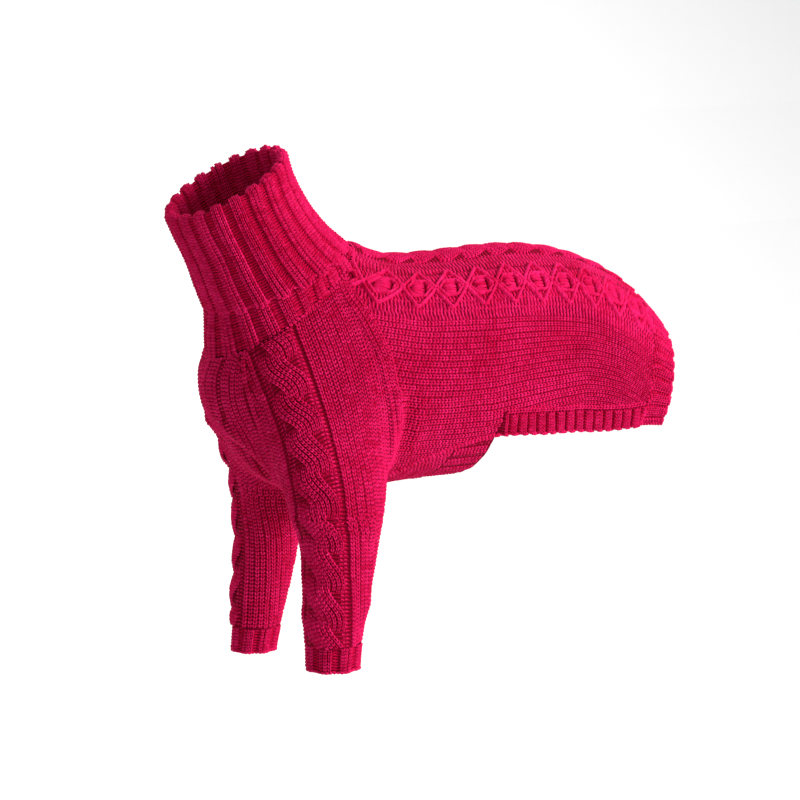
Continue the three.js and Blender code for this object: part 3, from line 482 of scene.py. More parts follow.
def cast_out(centres, directions):
    """Where rays from inside first leave the skin"""
    origin = np.broadcast_to(centres, directions.shape).reshape(-1, 3)
    toward = directions.reshape(-1, 3)
    near, far = np.zeros(len(toward)), np.zeros(len(toward))
    inside = np.full(len(toward), True)
    for distance in CAST_REACH * np.arange(1, CAST_STEPS + 1) / CAST_STEPS:
        near[inside] = far[inside]
        far[inside] = distance
        inside[inside] = skin(origin[inside] + toward[inside] * distance) <= 0
    for _ in range(CAST_HALVINGS):
        middle = (near + far) / 2
        out = skin(origin + toward * middle[:, None]) > 0
        far = np.where(out, middle, far)
        near = np.where(out, near, middle)
    return (origin + toward * ((near + far) / 2)[:, None]).reshape(directions.shape)


def settle(points):
    """The skin's points nearest to some points"""
    q = points.copy()
    for _ in range(SETTLE_STEPS):
        g = slope(q)
        steep = np.maximum((g**2).sum(axis=-1), LEAST_STEEP)
        q -= g * (skin(q) / steep)[..., None]
    return q


def fold_height(points):
    height = np.zeros(points.shape[:-1])
    side = np.where(points[..., 1] < 0, LEFT, RIGHT)
    near = points * np.stack([np.ones_like(side), side, np.ones_like(side)], axis=-1)
    for *ends, wide, high, only in FOLDS:
        start, end = np.reshape(ends, (2, 3))
        line = end - start
        f = np.clip((near - start) @ line / (line @ line), 0, 1)
        distance = np.linalg.norm(near - start - line * f[..., None], axis=-1)
        ridge = high * np.exp(-((distance / wide) ** 2))
        height += np.where((only == 0) | (side == only), ridge, 0)
    return height


# Charts: stretches of the skin, read at any row and distance across

class Chart:
    def __init__(self, points, start):
        self.grid = np.concatenate([points, unit(slope(points))], axis=-1)
        self.start = start

    def at(self, row, across):
        """Points and normals"""
        both = read_grid(self.grid, row, (np.asarray(across) - self.start) / ARC_STEP)
        return both[..., :3], unit(both[..., 3:])


def trunk_rings(side):
    """Half rings on the skin, from the spine round one side to the chest"""
    down = np.insert(DOWN, 1, 0, axis=1)
    centre = np.insert(TOP, 1, 0, axis=1) + down * SECTIONS[:, 5:6]
    out = np.sin(ANGLES)[None, :, None] * np.array([0, side, 0])
    return cast_out(centre[:, None, :], out - np.cos(ANGLES)[None, :, None] * unit(down)[:, None, :])


RINGS = {side: trunk_rings(side) for side in SIDES}
ARCS = {side: running_length(RINGS[side]) for side in SIDES}


def arc_at(side, station, degrees):
    """Distance from the spine round one side"""
    return read_grid(ARCS[side], np.asarray(station) * STATION_SPLIT, np.asarray(degrees) / ANGLE_STEP)


def seam_arc(side, station, column):
    raglan = np.interp(station, RAGLANS[:, 0], RAGLANS[:, column])
    below = np.interp(station, SIDE_EDGE[:, 0], SIDE_EDGE[:, 1])
    return arc_at(side, station, np.where(np.asarray(station) <= UNDERARM, raglan, below))


def rear_edge(side, station):
    return seam_arc(side, station, 1)


def front_edge(side, station):
    return seam_arc(side, station, 2)


def trunk_chart():
    """Both sides of the trunk as one chart, measured across from the spine"""
    reach = max(ARCS[side].max() for side in SIDES)
    arcs = np.arange(0, reach + 2 * ARC_STEP, ARC_STEP)
    left, right = (
        np.stack([read_at(arcs, arc, ring) for arc, ring in zip(ARCS[side], RINGS[side])])
        for side in SIDES
    )
    return Chart(np.concatenate([left[:, :0:-1], right], axis=1), -(len(arcs) - 1) * ARC_STEP)


trunk = trunk_chart()


def on_trunk(station, arc):
    return trunk.at(np.asarray(station) * STATION_SPLIT, arc)


SPINE_STATIONS = np.linspace(0, 13, 400)
SPINE_LENGTHS = running_length(on_trunk(SPINE_STATIONS, 0)[0])


def spine_place(station):
    return np.interp(station, SPINE_STATIONS, SPINE_LENGTHS)


# Sleeve charts: rows 0 to 14 lie in the raglans, rows 14 to 28 are loops round the leg

def cuff_top(side):
    return CUFF_END[side] + CUFF_DEEP


def leg_loop(side, meet, lower, f):
    """A loop round the leg. It starts at the height of the underarm and is level further down."""
    level = meet[2] - LOOP_DROP
    section = leg_section(side, level)
    start = math.atan2(meet[1] * side - section[2], meet[0] - section[1])
    angle = start - 2 * math.pi * f
    z = level + (cuff_top(side) - level) * lower
    here = leg_section(side, z)
    centre = np.array([here[1], here[2] * side, z])
    toward = np.stack([np.cos(angle), np.sin(angle) * side, 0 * f], axis=-1)
    if lower > CAST_BELOW:
        return cast_out(centre, toward)
    guide = centre + toward * np.array([here[3], here[4], 0])
    ends = fade(np.minimum(f, 1 - f), LOOP_EASE)[:, None]
    begin = meet + (guide - meet) * min(1, lower / CAST_BELOW)
    loop = settle(begin + (guide - begin) * ends)
    if lower == 0:
        loop[0] = loop[-1] = meet
    return loop


def sleeve_ring(side, row, f):
    """Points of one row of the sleeve, from the front seam round the outside to the rear seam"""
    def seam_point(station, edge):
        return on_trunk(station, side * edge(side, station))[0]

    meet = seam_point(UNDERARM, rear_edge)
    lower = max(row - ROW_UNDERARM, 0) / SLEEVE_LOWER_ROWS
    loop = leg_loop(side, meet, lower, f)
    if row >= ROW_UNDERARM:
        return loop
    front0, rear0 = front_edge(side, 0), rear_edge(side, 0)
    top = on_trunk(0, side * (front0 + (rear0 - front0) * f))[0]
    if row == 0:
        return top
    station = RAGLAN_STEPS[row]
    front = seam_point(station, front_edge)
    rear = seam_point(station, rear_edge)
    rho = row / ROW_UNDERARM
    g = f[:, None]
    guide = top * (1 - rho) + loop * rho + front * (1 - g) + rear * g
    guide -= top[0] * (1 - rho) * (1 - g) + top[-1] * (1 - rho) * g + meet * rho
    ring = settle(guide)
    ring[0], ring[-1] = front, rear
    return ring


def sleeve_rings(side, f):
    """Every row of the CAD's sleeve, and one more between each two"""
    whole = [sleeve_ring(side, row, f) for row in range(ROW_UNDERARM + SLEEVE_LOWER_ROWS + 1)]
    rings = [whole[0]]
    for above, below in zip(whole, whole[1:]):
        rings += [settle((above + below) / 2), below]
    return rings


def cable_middle(side, ring, arc):
    """Where the middle line of the cable crosses a ring, as a length from the ring's start"""
    line = blend_rows(CABLES[side], np.linspace(0, len(CABLES[side]) - 1, CABLE_POINTS))
    line[:, 1] *= side
    places = np.arange(0, arc[-1], 0.5)
    fine = read_at(places, arc, ring)
    distance = np.linalg.norm(fine[:, None, :] - line[None, :, :], axis=-1)
    return places[distance.min(axis=1).argmin()]


def sleeve_chart(side):
    """A chart measured across from the middle line of the cable"""
    rings = sleeve_rings(side, np.linspace(0, 1, LEG_POINTS))
    arcs = [running_length(ring) for ring in rings]
    middle = np.array([cable_middle(side, ring, arc) for ring, arc in zip(rings, arcs)])
    padded = np.concatenate([[2 * middle[0] - middle[1]], middle, [2 * middle[-1] - middle[-2]]])
    before = (padded[:-2] + 2 * padded[1:-1] + padded[2:]) / 4
    behind = np.array([arc[-1] for arc in arcs]) - before
    start = -math.ceil(before.max() / ARC_STEP + 1) * ARC_STEP
    across = np.arange(start, behind.max() + 2 * ARC_STEP, ARC_STEP)
    grid = np.stack([read_at(across + m, arc, ring) for m, arc, ring in zip(before, arcs, rings)])
    chart = Chart(grid, start)
    chart.before, chart.behind = before, behind
    return chart


sleeves = {side: sleeve_chart(side) for side in SIDES}


def sleeve_room(side, rows):
    """Distances from the cable to the front and the rear edge of the sleeve"""
    chart = sleeves[side]
    index = np.arange(SLEEVE_ROWS)
    return np.interp(rows, index, chart.before), np.interp(rows, index, chart.behind)


# Stitches: low domes stamped along lines of the cloth

ARCH = np.radians([180, 120, 60, 0])
ARCH_FOOT = 0.35


def dome(start, end, wide, high, cuts=(0.22, 0.52, 0.82), sizes=(0.85, 1.0, 0.8)):
    """A rounded length of yarn between two points of a stitch's own box, x across, y along, z out"""
    start, end = np.array(start, float), np.array(end, float)
    line = end - start
    aside = np.array([line[1], -line[0], 0])
    aside /= np.linalg.norm(aside)
    n = len(ARCH)
    verts, places = [start], [(0.0, 0.5)]
    for cut, size in zip(cuts, sizes):
        for k, turn in enumerate(ARCH):
            foot = ARCH_FOOT if k in (0, n - 1) else 0
            rise = np.array([0, 0, high * (size * math.sin(turn) - foot)])
            verts.append(start + line * cut - aside * wide / 2 * size * math.cos(turn) + rise)
            places.append((cut, k / (n - 1)))
    verts.append(end)
    places.append((1.0, 0.5))
    tip, last = len(verts) - 1, 1 + n * (len(cuts) - 1)
    faces = []
    for k in range(n - 1):
        faces += [(0, 1 + k, 2 + k), (tip, last + k + 1, last + k)]
        for a in range(1 + k, last, n):
            faces += [(a, a + n, a + n + 1), (a, a + n + 1, a + 1)]
    return np.array(verts), np.array(faces), np.array(places)


def two_legs():
    """A knit stitch: two lengths of yarn side by side, in the shape of a V"""
    shape = {"wide": 0.48, "high": 1.5, "cuts": (0.2, 0.5, 0.8), "sizes": (0.78, 1.0, 0.74)}
    legs = [dome((s * 0.07, -0.66, -0.8), (s * 0.33, 0.56, -0.6), **shape) for s in (-1, 1)]
    verts, faces, places = zip(*legs)
    faces = (faces[0], faces[1] + len(verts[0]))
    return np.concatenate(verts), np.concatenate(faces), np.concatenate(places)


KNIT = two_legs()
PURL = dome((-0.66, -0.2, -0.4), (0.66, 0.2, -0.4), 0.72, 1.0)
BAR = dome((0, -0.5, -0.2), (0, 0.5, -0.2), 1.0, 1.0)
CORD = dome((0, -0.95, -0.2), (0, 0.95, -0.2), 1.0, 1.0, (0.14, 0.5, 0.86), (0.9, 1.0, 0.9))

# Kinds of stitch, as far as they differ from plain knit
BACK_PURL = {"template": PURL, "high": 1.7}
# Purl stitches in the grooves of the ribs carry painted shade: a lower tone that stands for the shadow
# in the groove
BAND_PURL = {"template": PURL, "high": 1.0, "painted_shade": 0.4}
SIDE_PURL = {"template": PURL, "high": 1.0, "painted_shade": 0.5}
CHANNEL_PURL = {"template": PURL, "width": 4.9, "high": 1.6}
UNDER_KNIT = {"lift": 0.1}
UNDER_PURL = {"template": PURL, "lift": -0.8}
FINE_KNIT = {"pitch": 3.0}
# Painted shade in the grooves of the cuffs and the collar, as in the bands
FINE_PURL = {"template": PURL, "pitch": 2.6, "high": 0.9, "painted_shade": 0.4}
SEAM_KNIT = {"high": 2.2, "lift": 0.9}
RAGLAN_KNIT = {"width": 5.0, "high": 2.2, "lift": 1.0}
LATTICE_CORD = {"template": CORD, "high": 2.8, "lift": 1.7, "least": 8}
CELL_BAR = {"template": BAR, "width": 2.2, "pitch": 11.0, "high": 2.6, "lift": 1.2}
CROSS_BAR = {"template": BAR, "width": 3.0, "pitch": 11.0, "high": 2.2, "lift": 1.2}
KNOT = {"template": BAR, "width": 2.8, "pitch": 8.0, "high": 2.2, "lift": 2.0}
REAR_EDGE = {"template": CORD, "width": 3.2, "high": 1.9}
SIDE_BAND_EDGE = {"template": CORD, "width": 3.0, "high": 1.8}
CUFF_EDGE = {"template": BAR, "width": 3.0, "pitch": 3.6, "high": 2.0}
COLLAR_EDGE = {"template": BAR, "width": 3.2, "pitch": 4.0, "high": 2.0}
COLLAR_SEAM = {"template": BAR, "width": 2.6, "pitch": 4.4, "high": 1.7}

# Ribs: wales in one rib and the purl ones of them, how much wider than their wales the stitches
# are, and the rise and the groove's depth of the cloth, of the stitches and of the loose edge
REAR_RIB = {
    "wales": 4, "purl": (2,), "wider": 1.08, "crown": {}, "groove": BAND_PURL,
    "cloth": (2.4, 1.6), "yarn": (2.6, 1.6), "edge": (1.6, 1.2),
}
SIDE_RIB = {
    "wales": 3, "purl": (1,), "wider": 1.12, "crown": {"high": 2.2}, "groove": SIDE_PURL,
    "cloth": (2.6, 1.7), "yarn": (3.2, 1.5), "edge": (1.8, 0.6),
}
CUFF_RIB = {
    "wales": 5, "purl": (2, 3), "wider": 1.08, "crown": FINE_KNIT, "groove": FINE_PURL,
    "cloth": (2.2, 1.6), "yarn": (2.6, 1.3), "edge": (1.8, 0.5),
}
COLLAR_RIB = CUFF_RIB | {"cloth": (2.6, 2.3), "yarn": (3.2, 1.7)}


class Stitches:
    """Stitches of one piece, gathered and made into one mesh"""

    def __init__(self):
        self.verts, self.faces, self.places, self.tones_and_painted_shade = [], [], [], []
        self.count = 0

    def stamp(self, template, place, across, along, out, painted_shade):
        """One template at each place, with its own box of three scaled directions"""
        verts, faces, places = template
        number = len(place)
        made = place[:, None, :] + verts @ np.stack([across, along, out], axis=1)
        first = self.count + np.arange(number)[:, None, None] * len(verts)
        self.faces.append((faces[None] + first).reshape(-1, 3))
        self.verts.append(made.reshape(-1, 3))
        shifted = places[None] + rng.random((number, 1, 1)) * np.array([TWIST_SHIFT, 0])
        self.places.append(shifted.reshape(-1, 2))
        # Tone of each stitch: random, and lowered by its painted shade, which stands for the shadow in
        # rib grooves, in the sleeve's channel and under the rope's crossings
        tone_and_painted_shade = rng.normal(0.5 - painted_shade, TONE_SPREAD, number).clip(0, 1)
        self.tones_and_painted_shade.append(np.repeat(tone_and_painted_shade, len(verts)))
        self.count += number * len(verts)

    def along(
        self, points, normals, width, template=KNIT, pitch=ROW, high=STITCH_HIGH, skew=0.0, painted_shade=0.0
    ):
        """Stitches at even steps along one line, each a little out of true"""
        length = running_length(points)
        number = int(length[-1] / pitch + 0.3)
        if number < 1:
            return
        step = length[-1] / number
        phase = rng.uniform(0.2, 0.8) if number > 8 else 0.5
        at = (np.arange(number) + phase) * step
        place = read_at(at, length, points)
        out = unit(read_at(at, length, normals))
        ahead = read_at(at + step / 2, length, points) - read_at(at - step / 2, length, points)
        ahead = unit(ahead - out * (ahead * out).sum(-1, keepdims=True))
        across = np.cross(ahead, out)
        bends = np.arange(0, length[-1] + SWAY_STEP, SWAY_STEP)
        sway = np.interp(at, bends, rng.normal(0, SWAY, len(bends)))
        place = place + across * sway[:, None]
        jitter = rng.normal(0, JITTER, (number, 1)) + skew
        ahead, across = ahead + across * jitter, across - ahead * jitter
        wide = np.interp(at, length, np.broadcast_to(width, length.shape))[:, None]
        painted_shade = np.interp(at, length, np.broadcast_to(painted_shade, length.shape))
        wide = wide * rng.normal(1, WIDTH_SPREAD, (number, 1))
        tall = high * rng.normal(1, HEIGHT_SPREAD, (number, 1))
        self.stamp(template, place, across * wide, ahead * step, out * tall, painted_shade)

    def wale(self, read, rows, across, room=True, lift=0.0, width=WALE, painted_shade=0.0, least=3, **kind):
        """Stitches along a line of a chart, raised over the cloth, where there is room for them"""
        every = (rows, across, room, lift, width, painted_shade)
        rows, across, room, lift, width, painted_shade = np.broadcast_arrays(*every)
        for a, b in stretches(room, least):
            points, normals = read(rows[a:b], across[a:b])
            raised = points + normals * (fold_height(points) + lift[a:b])[..., None]
            self.along(raised, normals, width[a:b], painted_shade=painted_shade[a:b], **kind)

    def make(self, name):
        verts = np.concatenate(self.verts) * MM
        piece = mesh_piece(name, verts, np.concatenate(self.faces), np.concatenate(self.places))
        tone_and_painted_shade = piece.data.attributes.new("tone_and_painted_shade", "FLOAT", "POINT")
        tone_and_painted_shade.data.foreach_set("value", np.concatenate(self.tones_and_painted_shade).astype(np.float32))
        return piece


def mesh_piece(name, verts, faces, places):
    mesh = bpy.data.meshes.new(name)
    mesh.from_pydata(verts.tolist(), [], faces.tolist(), shade_flat=False)
    layer = mesh.uv_layers.new(name="knit")
    layer.data.foreach_set("uv", places[faces.ravel()].astype(np.float32).ravel())
    piece = bpy.data.objects.new(name, mesh)
    bpy.context.scene.collection.objects.link(piece)
    return piece


# Cloth, made with its flat size: across its wales, and along them

def grid_faces(ids):
    return np.stack([ids[:-1, :-1], ids[1:, :-1], ids[1:, 1:], ids[:-1, 1:]], axis=-1).reshape(-1, 4)


def face_outward(piece):
    """Turns the faces over if the grid ran the other way round"""
    solid = bmesh.new()
    solid.from_mesh(piece.data)
    if solid.calc_volume(signed=True) < 0:
        piece.data.flip_normals()
    solid.free()
    return piece


def grid_size(points):
    """The longest line across a grid of points, and the one down its middle, in metres"""
    across = running_length(points)[:, -1].max()
    down = running_length(points[:, points.shape[1] // 2])[-1]
    return math.ceil(across) * MM, math.ceil(down) * MM


def cloth_shell(name, points, normals, relief, places):
    """A wall on the skin: raised outside by the relief, plain inside"""
    lift = fold_height(points)
    outer = points + normals * (lift + relief)[..., None]
    inner = points + normals * (lift - CLOTH_DEEP)[..., None]
    ids = np.arange(lift.size).reshape(lift.shape)
    face = grid_faces(ids)
    loop = np.concatenate([ids[:-1, 0], ids[-1, :-1], ids[:0:-1, -1], ids[0, :0:-1]])
    after = np.roll(loop, -1)
    rim = np.stack([after, loop, loop + lift.size, after + lift.size], axis=-1)
    verts = np.concatenate([outer.reshape(-1, 3), inner.reshape(-1, 3)]) * MM
    faces = np.concatenate([face, face[:, ::-1] + lift.size, rim])
    piece = mesh_piece(name, verts, faces, np.concatenate([places.reshape(-1, 2)] * 2))
    return face_outward(piece), grid_size(outer)


# Raised patterns

def rope_bulge(cable, across):
    inside = np.clip(1 - (across / cable["half"]) ** 2, 0, 1)
    return np.sqrt(inside) * cable["high"] * ROPE_BULGE


def rope_stitches(stitches, read, rows, up, cable):
    """Two strands of plain knit that cross over and over in the same direction"""
    strand_half = cable["half"] * cable["share"]
    swing = cable["half"] - strand_half
    pitch = 2 * strand_half / cable["wales"]
    ends = fade(np.minimum(up - up.min(), up.max() - up), ROPE_FADE)
    for number in (0, 1):
        phase = math.pi * (up / cable["repeat"] + number + 0.5)
        middle, over = swing * np.cos(phase), -np.sin(phase)
        # Painted shade: darker while the strand passes under the other
        under = ROPE_UNDER_PAINTED_SHADE * np.clip(-over, 0, 1)
        for k in range(cable["wales"]):
            offset = (k - (cable["wales"] - 1) / 2) * pitch
            crown = STRAND_CROWN * math.sqrt(1 - (offset / (strand_half * STRAND_ROUND)) ** 2)
            lift = cable["high"] * (STRAND_EDGE + cable["dip"] * over * ends + crown)
            stitches.wale(read, rows, middle + offset, over > ROPE_HIDDEN, lift, pitch, under)


def lattice_wave(up):
    """0 where the two lines of the lattice cross, 1 where they are furthest apart"""
    saw = np.abs(((up / LATTICE_REPEAT) % 1) * 2 - 1)
    return np.clip(saw * 1.14 - 0.04, 0, 1)


def rib_profile(turns):
    """1 on the crown of a rib, 0 in the groove, for a place counted in ribs"""
    return np.clip(0.5 + 0.9 * np.cos(2 * np.pi * np.asarray(turns)), 0, 1)


def rib_height(rib, layer, turns):
    rise, depth = rib[layer]
    return rise * rib_profile(turns) - depth


def rib_kind(rib, wale):
    return rib["groove"] if wale % rib["wales"] in rib["purl"] else rib["crown"]


# Back

def back_shell():
    stations = np.concatenate([
        np.linspace(0.0, UNDERARM, 40, endpoint=False),
        np.linspace(UNDERARM, BELLY_END, 12),
        np.linspace(BELLY_END + 0.01, REAR_BAND + 0.02, 34),
    ])
    band = np.where(stations > BELLY_END, SIDE_BAND_DEEP - SEAM_LAP, -SEAM_LAP)
    left, right = (side * (rear_edge(side, stations) - band) for side in SIDES)
    arcs = left[:, None] + (right - left)[:, None] * np.linspace(0, 1, 121)
    points, normals = on_trunk(stations[:, None], arcs)
    places = pairs(arcs / WALE, spine_place(stations)[:, None] / ROW)
    return cloth_shell("back_cloth", points, normals, rope_bulge(SPINE_CABLE, arcs), places)


def spine_rope():
    stitches = Stitches()
    stations = np.linspace(REAR_BAND, 0.2, BACK_POINTS)
    rope_stitches(stitches, on_trunk, stations, spine_place(stations), SPINE_CABLE)
    return stitches


def back_stitches(side):
    stitches = Stitches()
    stations = np.linspace(REAR_BAND, 0, BACK_POINTS)
    up = spine_place(stations)
    edge = rear_edge(side, stations)
    room = edge - np.where(stations > BELLY_END, SIDE_BAND_DEEP + EDGE_ROOM, EDGE_ROOM)
    outer = LATTICE_HALF * lattice_wave(up) + CORD_CLEAR
    inner = np.minimum(outer - CORD_GAP, CELL_HALF)

    def wale(arc, width, **kind):
        beside = np.abs(arc - LATTICE_MIDDLE) > inner + INNER_CORD
        stitches.wale(on_trunk, stations, side * arc, (room > arc) & beside, width=width, **kind)

    for arc in ROPE_PURL:
        wale(arc, ROPE_PURL_WALE, skew=rng.normal(0, PURL_SKEW), **BACK_PURL)
    for arc in np.linspace(LATTICE_FROM + PURL_INSET, PURL_UNTIL - PURL_INSET, LATTICE_PURL):
        wale(arc, LATTICE_PURL_WALE, skew=rng.normal(0, PURL_SKEW), **BACK_PURL)
    wide = WALE * np.interp(stations, WALE_SPREAD[:, 0], WALE_SPREAD[:, 1])
    for k in range(int((edge.max() - PURL_UNTIL) / wide.min()) + 1):
        wale(PURL_UNTIL + (k + 0.5) * wide, wide)

    for flip in (-1, 1):
        for reach, cord in ((outer, OUTER_CORD), (inner, INNER_CORD)):
            path = LATTICE_MIDDLE + flip * reach
            seen = (room > path + 2) & (reach > 0.6)
            kind = {"width": cord, "skew": CORD_SKEW * flip, **LATTICE_CORD}
            stitches.wale(on_trunk, stations, side * path, seen, **kind)

    beside_band = SIDE_BAND_DEEP + BAND_SEAM_INSET
    for low, high, inset in ((0, BELLY_END, SEAM_INSET), (BELLY_END, REAR_BAND, beside_band)):
        near = np.linspace(high - 0.02, low + 0.05, SEAM_POINTS)
        stitches.wale(on_trunk, near, side * (rear_edge(side, near) - inset), **SEAM_KNIT)
    lattice_details(stitches, side, stations[::-1], up[::-1], room[::-1])
    return stitches


def lattice_details(stitches, side, stations, up, room):
    """Bars in the cells and one across their upper end, then knots at the crossings"""
    def rows(first):
        """Places of one row of cells or of knots, as far as the lattice reaches"""
        places = (np.arange(int(up.max() / LATTICE_REPEAT) + 1) + first) * LATTICE_REPEAT
        return [place for place in places if np.interp(station_at(place), stations, room) >= LATTICE_TO]

    def station_at(place):
        return np.interp(place, up, stations)

    def bar(near, across, kind):
        stitches.wale(on_trunk, near, side * (LATTICE_MIDDLE + across), **kind)

    for place in rows(1.0):
        for offset in CELL_BARS:
            bar(station_at(place + np.linspace(*CELL_BAR_SPAN, 5)), offset, CELL_BAR)
        across = np.linspace(-CROSS_BAR_HALF, CROSS_BAR_HALF, 5)
        bar(station_at(place + CROSS_BAR_ABOVE), across, CROSS_BAR)
    for place in rows(0.5):
        for shift in KNOT_SHIFTS:
            bar(station_at(place) + shift, np.linspace(-KNOT_HALF, KNOT_HALF, 4), KNOT)


# Chest and belly, measured from the middle of the chest, the right side positive

def on_chest(station, from_middle):
    station, from_middle = np.broadcast_arrays(np.asarray(station, float), from_middle)
    right = arc_at(RIGHT, station, 180) - from_middle
    left = -(arc_at(LEFT, station, 180) + from_middle)
    return on_trunk(station, np.where(from_middle >= 0, right, left))


def under_room(stations):
    """Distances from the middle to the left and the right edge"""
    return [arc_at(side, stations, 180) - front_edge(side, stations) for side in SIDES]


def under_shell(name, first, last, rows):
    stations = np.linspace(first, last + 0.02, rows)
    left, right = (room[:, None] + SEAM_LAP for room in under_room(stations))
    from_middle = -left + (left + right) * np.linspace(0, 1, 33)
    points, normals = on_chest(stations[:, None], from_middle)
    up = running_length(on_chest(stations, 0)[0])[:, None]
    places = pairs(from_middle / WALE, up / ROW)
    return cloth_shell(name, points, normals, 0 * from_middle, places)


def under_stitches(first, last, is_groove):
    """Wales along the chest and the belly, with purl grooves"""
    stitches = Stitches()
    stations = np.linspace(last - 0.02, first + 0.02, UNDER_POINTS)
    left, right = (room - 0.5 for room in under_room(stations))
    wales = int(max(left.max(), right.max()) / WALE)
    for k in range(-wales, wales + 1):
        room = (right if k >= 0 else left) > abs(k * WALE)
        kind = UNDER_PURL if is_groove(k) else UNDER_KNIT
        stitches.wale(on_chest, stations, k * WALE, room, **kind)
    return stitches


def chest_groove(k):
    return abs(k) == CHEST_GROOVE


def belly_groove(k):
    return k % BELLY_RIB == 0


# Bands of rib

def rear_band():
    stations = np.linspace(REAR_BAND + 0.01, REAR_END, 12)[:, None]
    f = np.linspace(-1, 1, 133)
    arcs = np.where(f < 0, rear_edge(LEFT, stations) * f, rear_edge(RIGHT, stations) * f)
    points, normals = on_trunk(stations, arcs)
    total = rear_edge(LEFT, REAR_BAND) + rear_edge(RIGHT, REAR_BAND)
    ribs = round(total / 2 / RIB_PITCH)
    relief = np.broadcast_to(rib_height(REAR_RIB, "cloth", f * ribs), arcs.shape)
    cloth = cloth_shell("rear_band_cloth", points, normals, relief, pairs(arcs / WALE, stations * 8))

    stitches = Stitches()
    stations = np.linspace(REAR_END - 0.02, REAR_BAND + 0.01, 60)
    wales = ribs * REAR_RIB["wales"]
    for k in range(-wales, wales + 1):
        side = LEFT if k < 0 else RIGHT
        arc = side * rear_edge(side, stations) * abs(k / wales)
        width = rear_edge(side, REAR_BAND) / wales * REAR_RIB["wider"]
        kind = {"width": width, "lift": rib_height(REAR_RIB, "yarn", k / REAR_RIB["wales"])}
        stitches.wale(on_trunk, stations, arc, **kind, **rib_kind(REAR_RIB, k))
    left_edge = -np.linspace(rear_edge(LEFT, REAR_END), 0, SEAM_POINTS)
    right_edge = np.linspace(0, rear_edge(RIGHT, REAR_END), SEAM_POINTS)[1:]
    edge = np.concatenate([left_edge, right_edge])
    lift = rib_height(REAR_RIB, "edge", np.linspace(-ribs, ribs, len(edge)))
    stitches.wale(on_trunk, REAR_END - 0.05, edge, lift=lift, **REAR_EDGE)
    return cloth, stitches


def side_band(side):
    stations = np.linspace(BELLY_END + 0.01, REAR_BAND + 0.02, 160)
    deep = np.linspace(SIDE_BAND_DEEP + SEAM_LAP, 0, 9)
    edge = rear_edge(side, stations)
    arcs = side * (edge[:, None] - deep)
    points, normals = on_trunk(stations[:, None], arcs)
    length = running_length(points[:, 4])
    ribs = round(length[-1] / SIDE_RIB_PITCH)
    leaning = (length[:, None] - SIDE_RIB_LEAN * (SIDE_BAND_DEEP - deep)) / length[-1]
    relief = rib_height(SIDE_RIB, "cloth", leaning * ribs)
    places = pairs(length[:, None] / WALE, arcs / ROW)
    piece, flat = cloth_shell(f"side_band_{SIDES[side]}_cloth", points, normals, relief, places)

    stitches = Stitches()
    wales = ribs * SIDE_RIB["wales"]
    down = np.linspace(1.5, SIDE_BAND_DEEP - 0.8, 12)
    for k in range(wales):
        share = (k + 0.5) / wales
        lean = SIDE_RIB_LEAN * (SIDE_BAND_DEEP - down)
        station = np.interp(share * length[-1] + lean, length, stations)
        width = length[-1] / wales * SIDE_RIB["wider"]
        kind = {"width": width, "lift": rib_height(SIDE_RIB, "yarn", share * ribs)}
        arc = side * (rear_edge(side, station) - down)
        stitches.wale(on_trunk, station, arc, **kind, **rib_kind(SIDE_RIB, k))
    turns = length / length[-1] * ribs
    arc = side * (edge - 0.9 + 0.4 * rib_profile(turns))
    stitches.wale(on_trunk, stations, arc, lift=rib_height(SIDE_RIB, "edge", turns), **SIDE_BAND_EDGE)
    return (piece, flat[::-1]), stitches


# Sleeves

def sleeve_shell(side):
    chart = sleeves[side]
    rows = np.concatenate([np.linspace(0, 28, 44), np.linspace(28.5, SLEEVE_ROWS - 1, 40)])
    before, behind = (room[:, None] + SEAM_LAP for room in sleeve_room(side, rows))
    across = -before + (before + behind) * np.linspace(0, 1, 81)
    points, normals = chart.at(rows[:, None], across)
    up = running_length(chart.at(rows, 0)[0])[:, None]
    places = pairs(across / WALE, up / ROW)
    name = f"sleeve_{SIDES[side]}_cloth"
    return cloth_shell(name, points, normals, rope_bulge(SLEEVE_CABLE, across), places)


def sleeve_stitches(side):
    chart = sleeves[side]
    stitches = Stitches()
    rows = np.linspace(SLEEVE_ROWS - 1.1, 0.1, SLEEVE_POINTS)
    up = running_length(chart.at(rows[::-1], 0)[0])[::-1]
    before, behind = sleeve_room(side, rows)
    raglan = rows < ROW_UNDERARM * SLEEVE_SPLIT
    half = SLEEVE_CABLE["half"]
    for flip, end, word in ((-1, before, "before"), (1, behind, "behind")):
        room = end - np.where(raglan, RAGLAN_ROOM[word], LOOSE_ROOM)
        # Purl wales of the channel, with their painted shade
        for inset, lift, painted_shade in CHANNEL_WALES:
            place = half - inset
            kind = {"painted_shade": painted_shade, "skew": rng.normal(CHANNEL_SKEW, 0.1) * flip, **CHANNEL_PURL}
            stitches.wale(chart.at, rows, flip * place, room > place, lift, **kind)
        first = half + CHANNEL + WALE / 2
        for place in np.arange(first, room.max(), WALE):
            lift = BESIDE_CHANNEL_LIFT if place == first else 0
            stitches.wale(chart.at, rows, flip * place, room > place, lift)
    rope_stitches(stitches, chart.at, rows, up, SLEEVE_CABLE)

    upper = np.linspace(ROW_UNDERARM * SLEEVE_SPLIT - 0.5, 0.1, SEAM_POINTS)
    before, behind = sleeve_room(side, upper)
    beside_seams = [behind - inset for inset in RAGLAN_WALES["behind"]]
    beside_seams += [inset - before for inset in RAGLAN_WALES["before"]]
    for across in beside_seams:
        stitches.wale(chart.at, upper, across, **RAGLAN_KNIT)
    return stitches


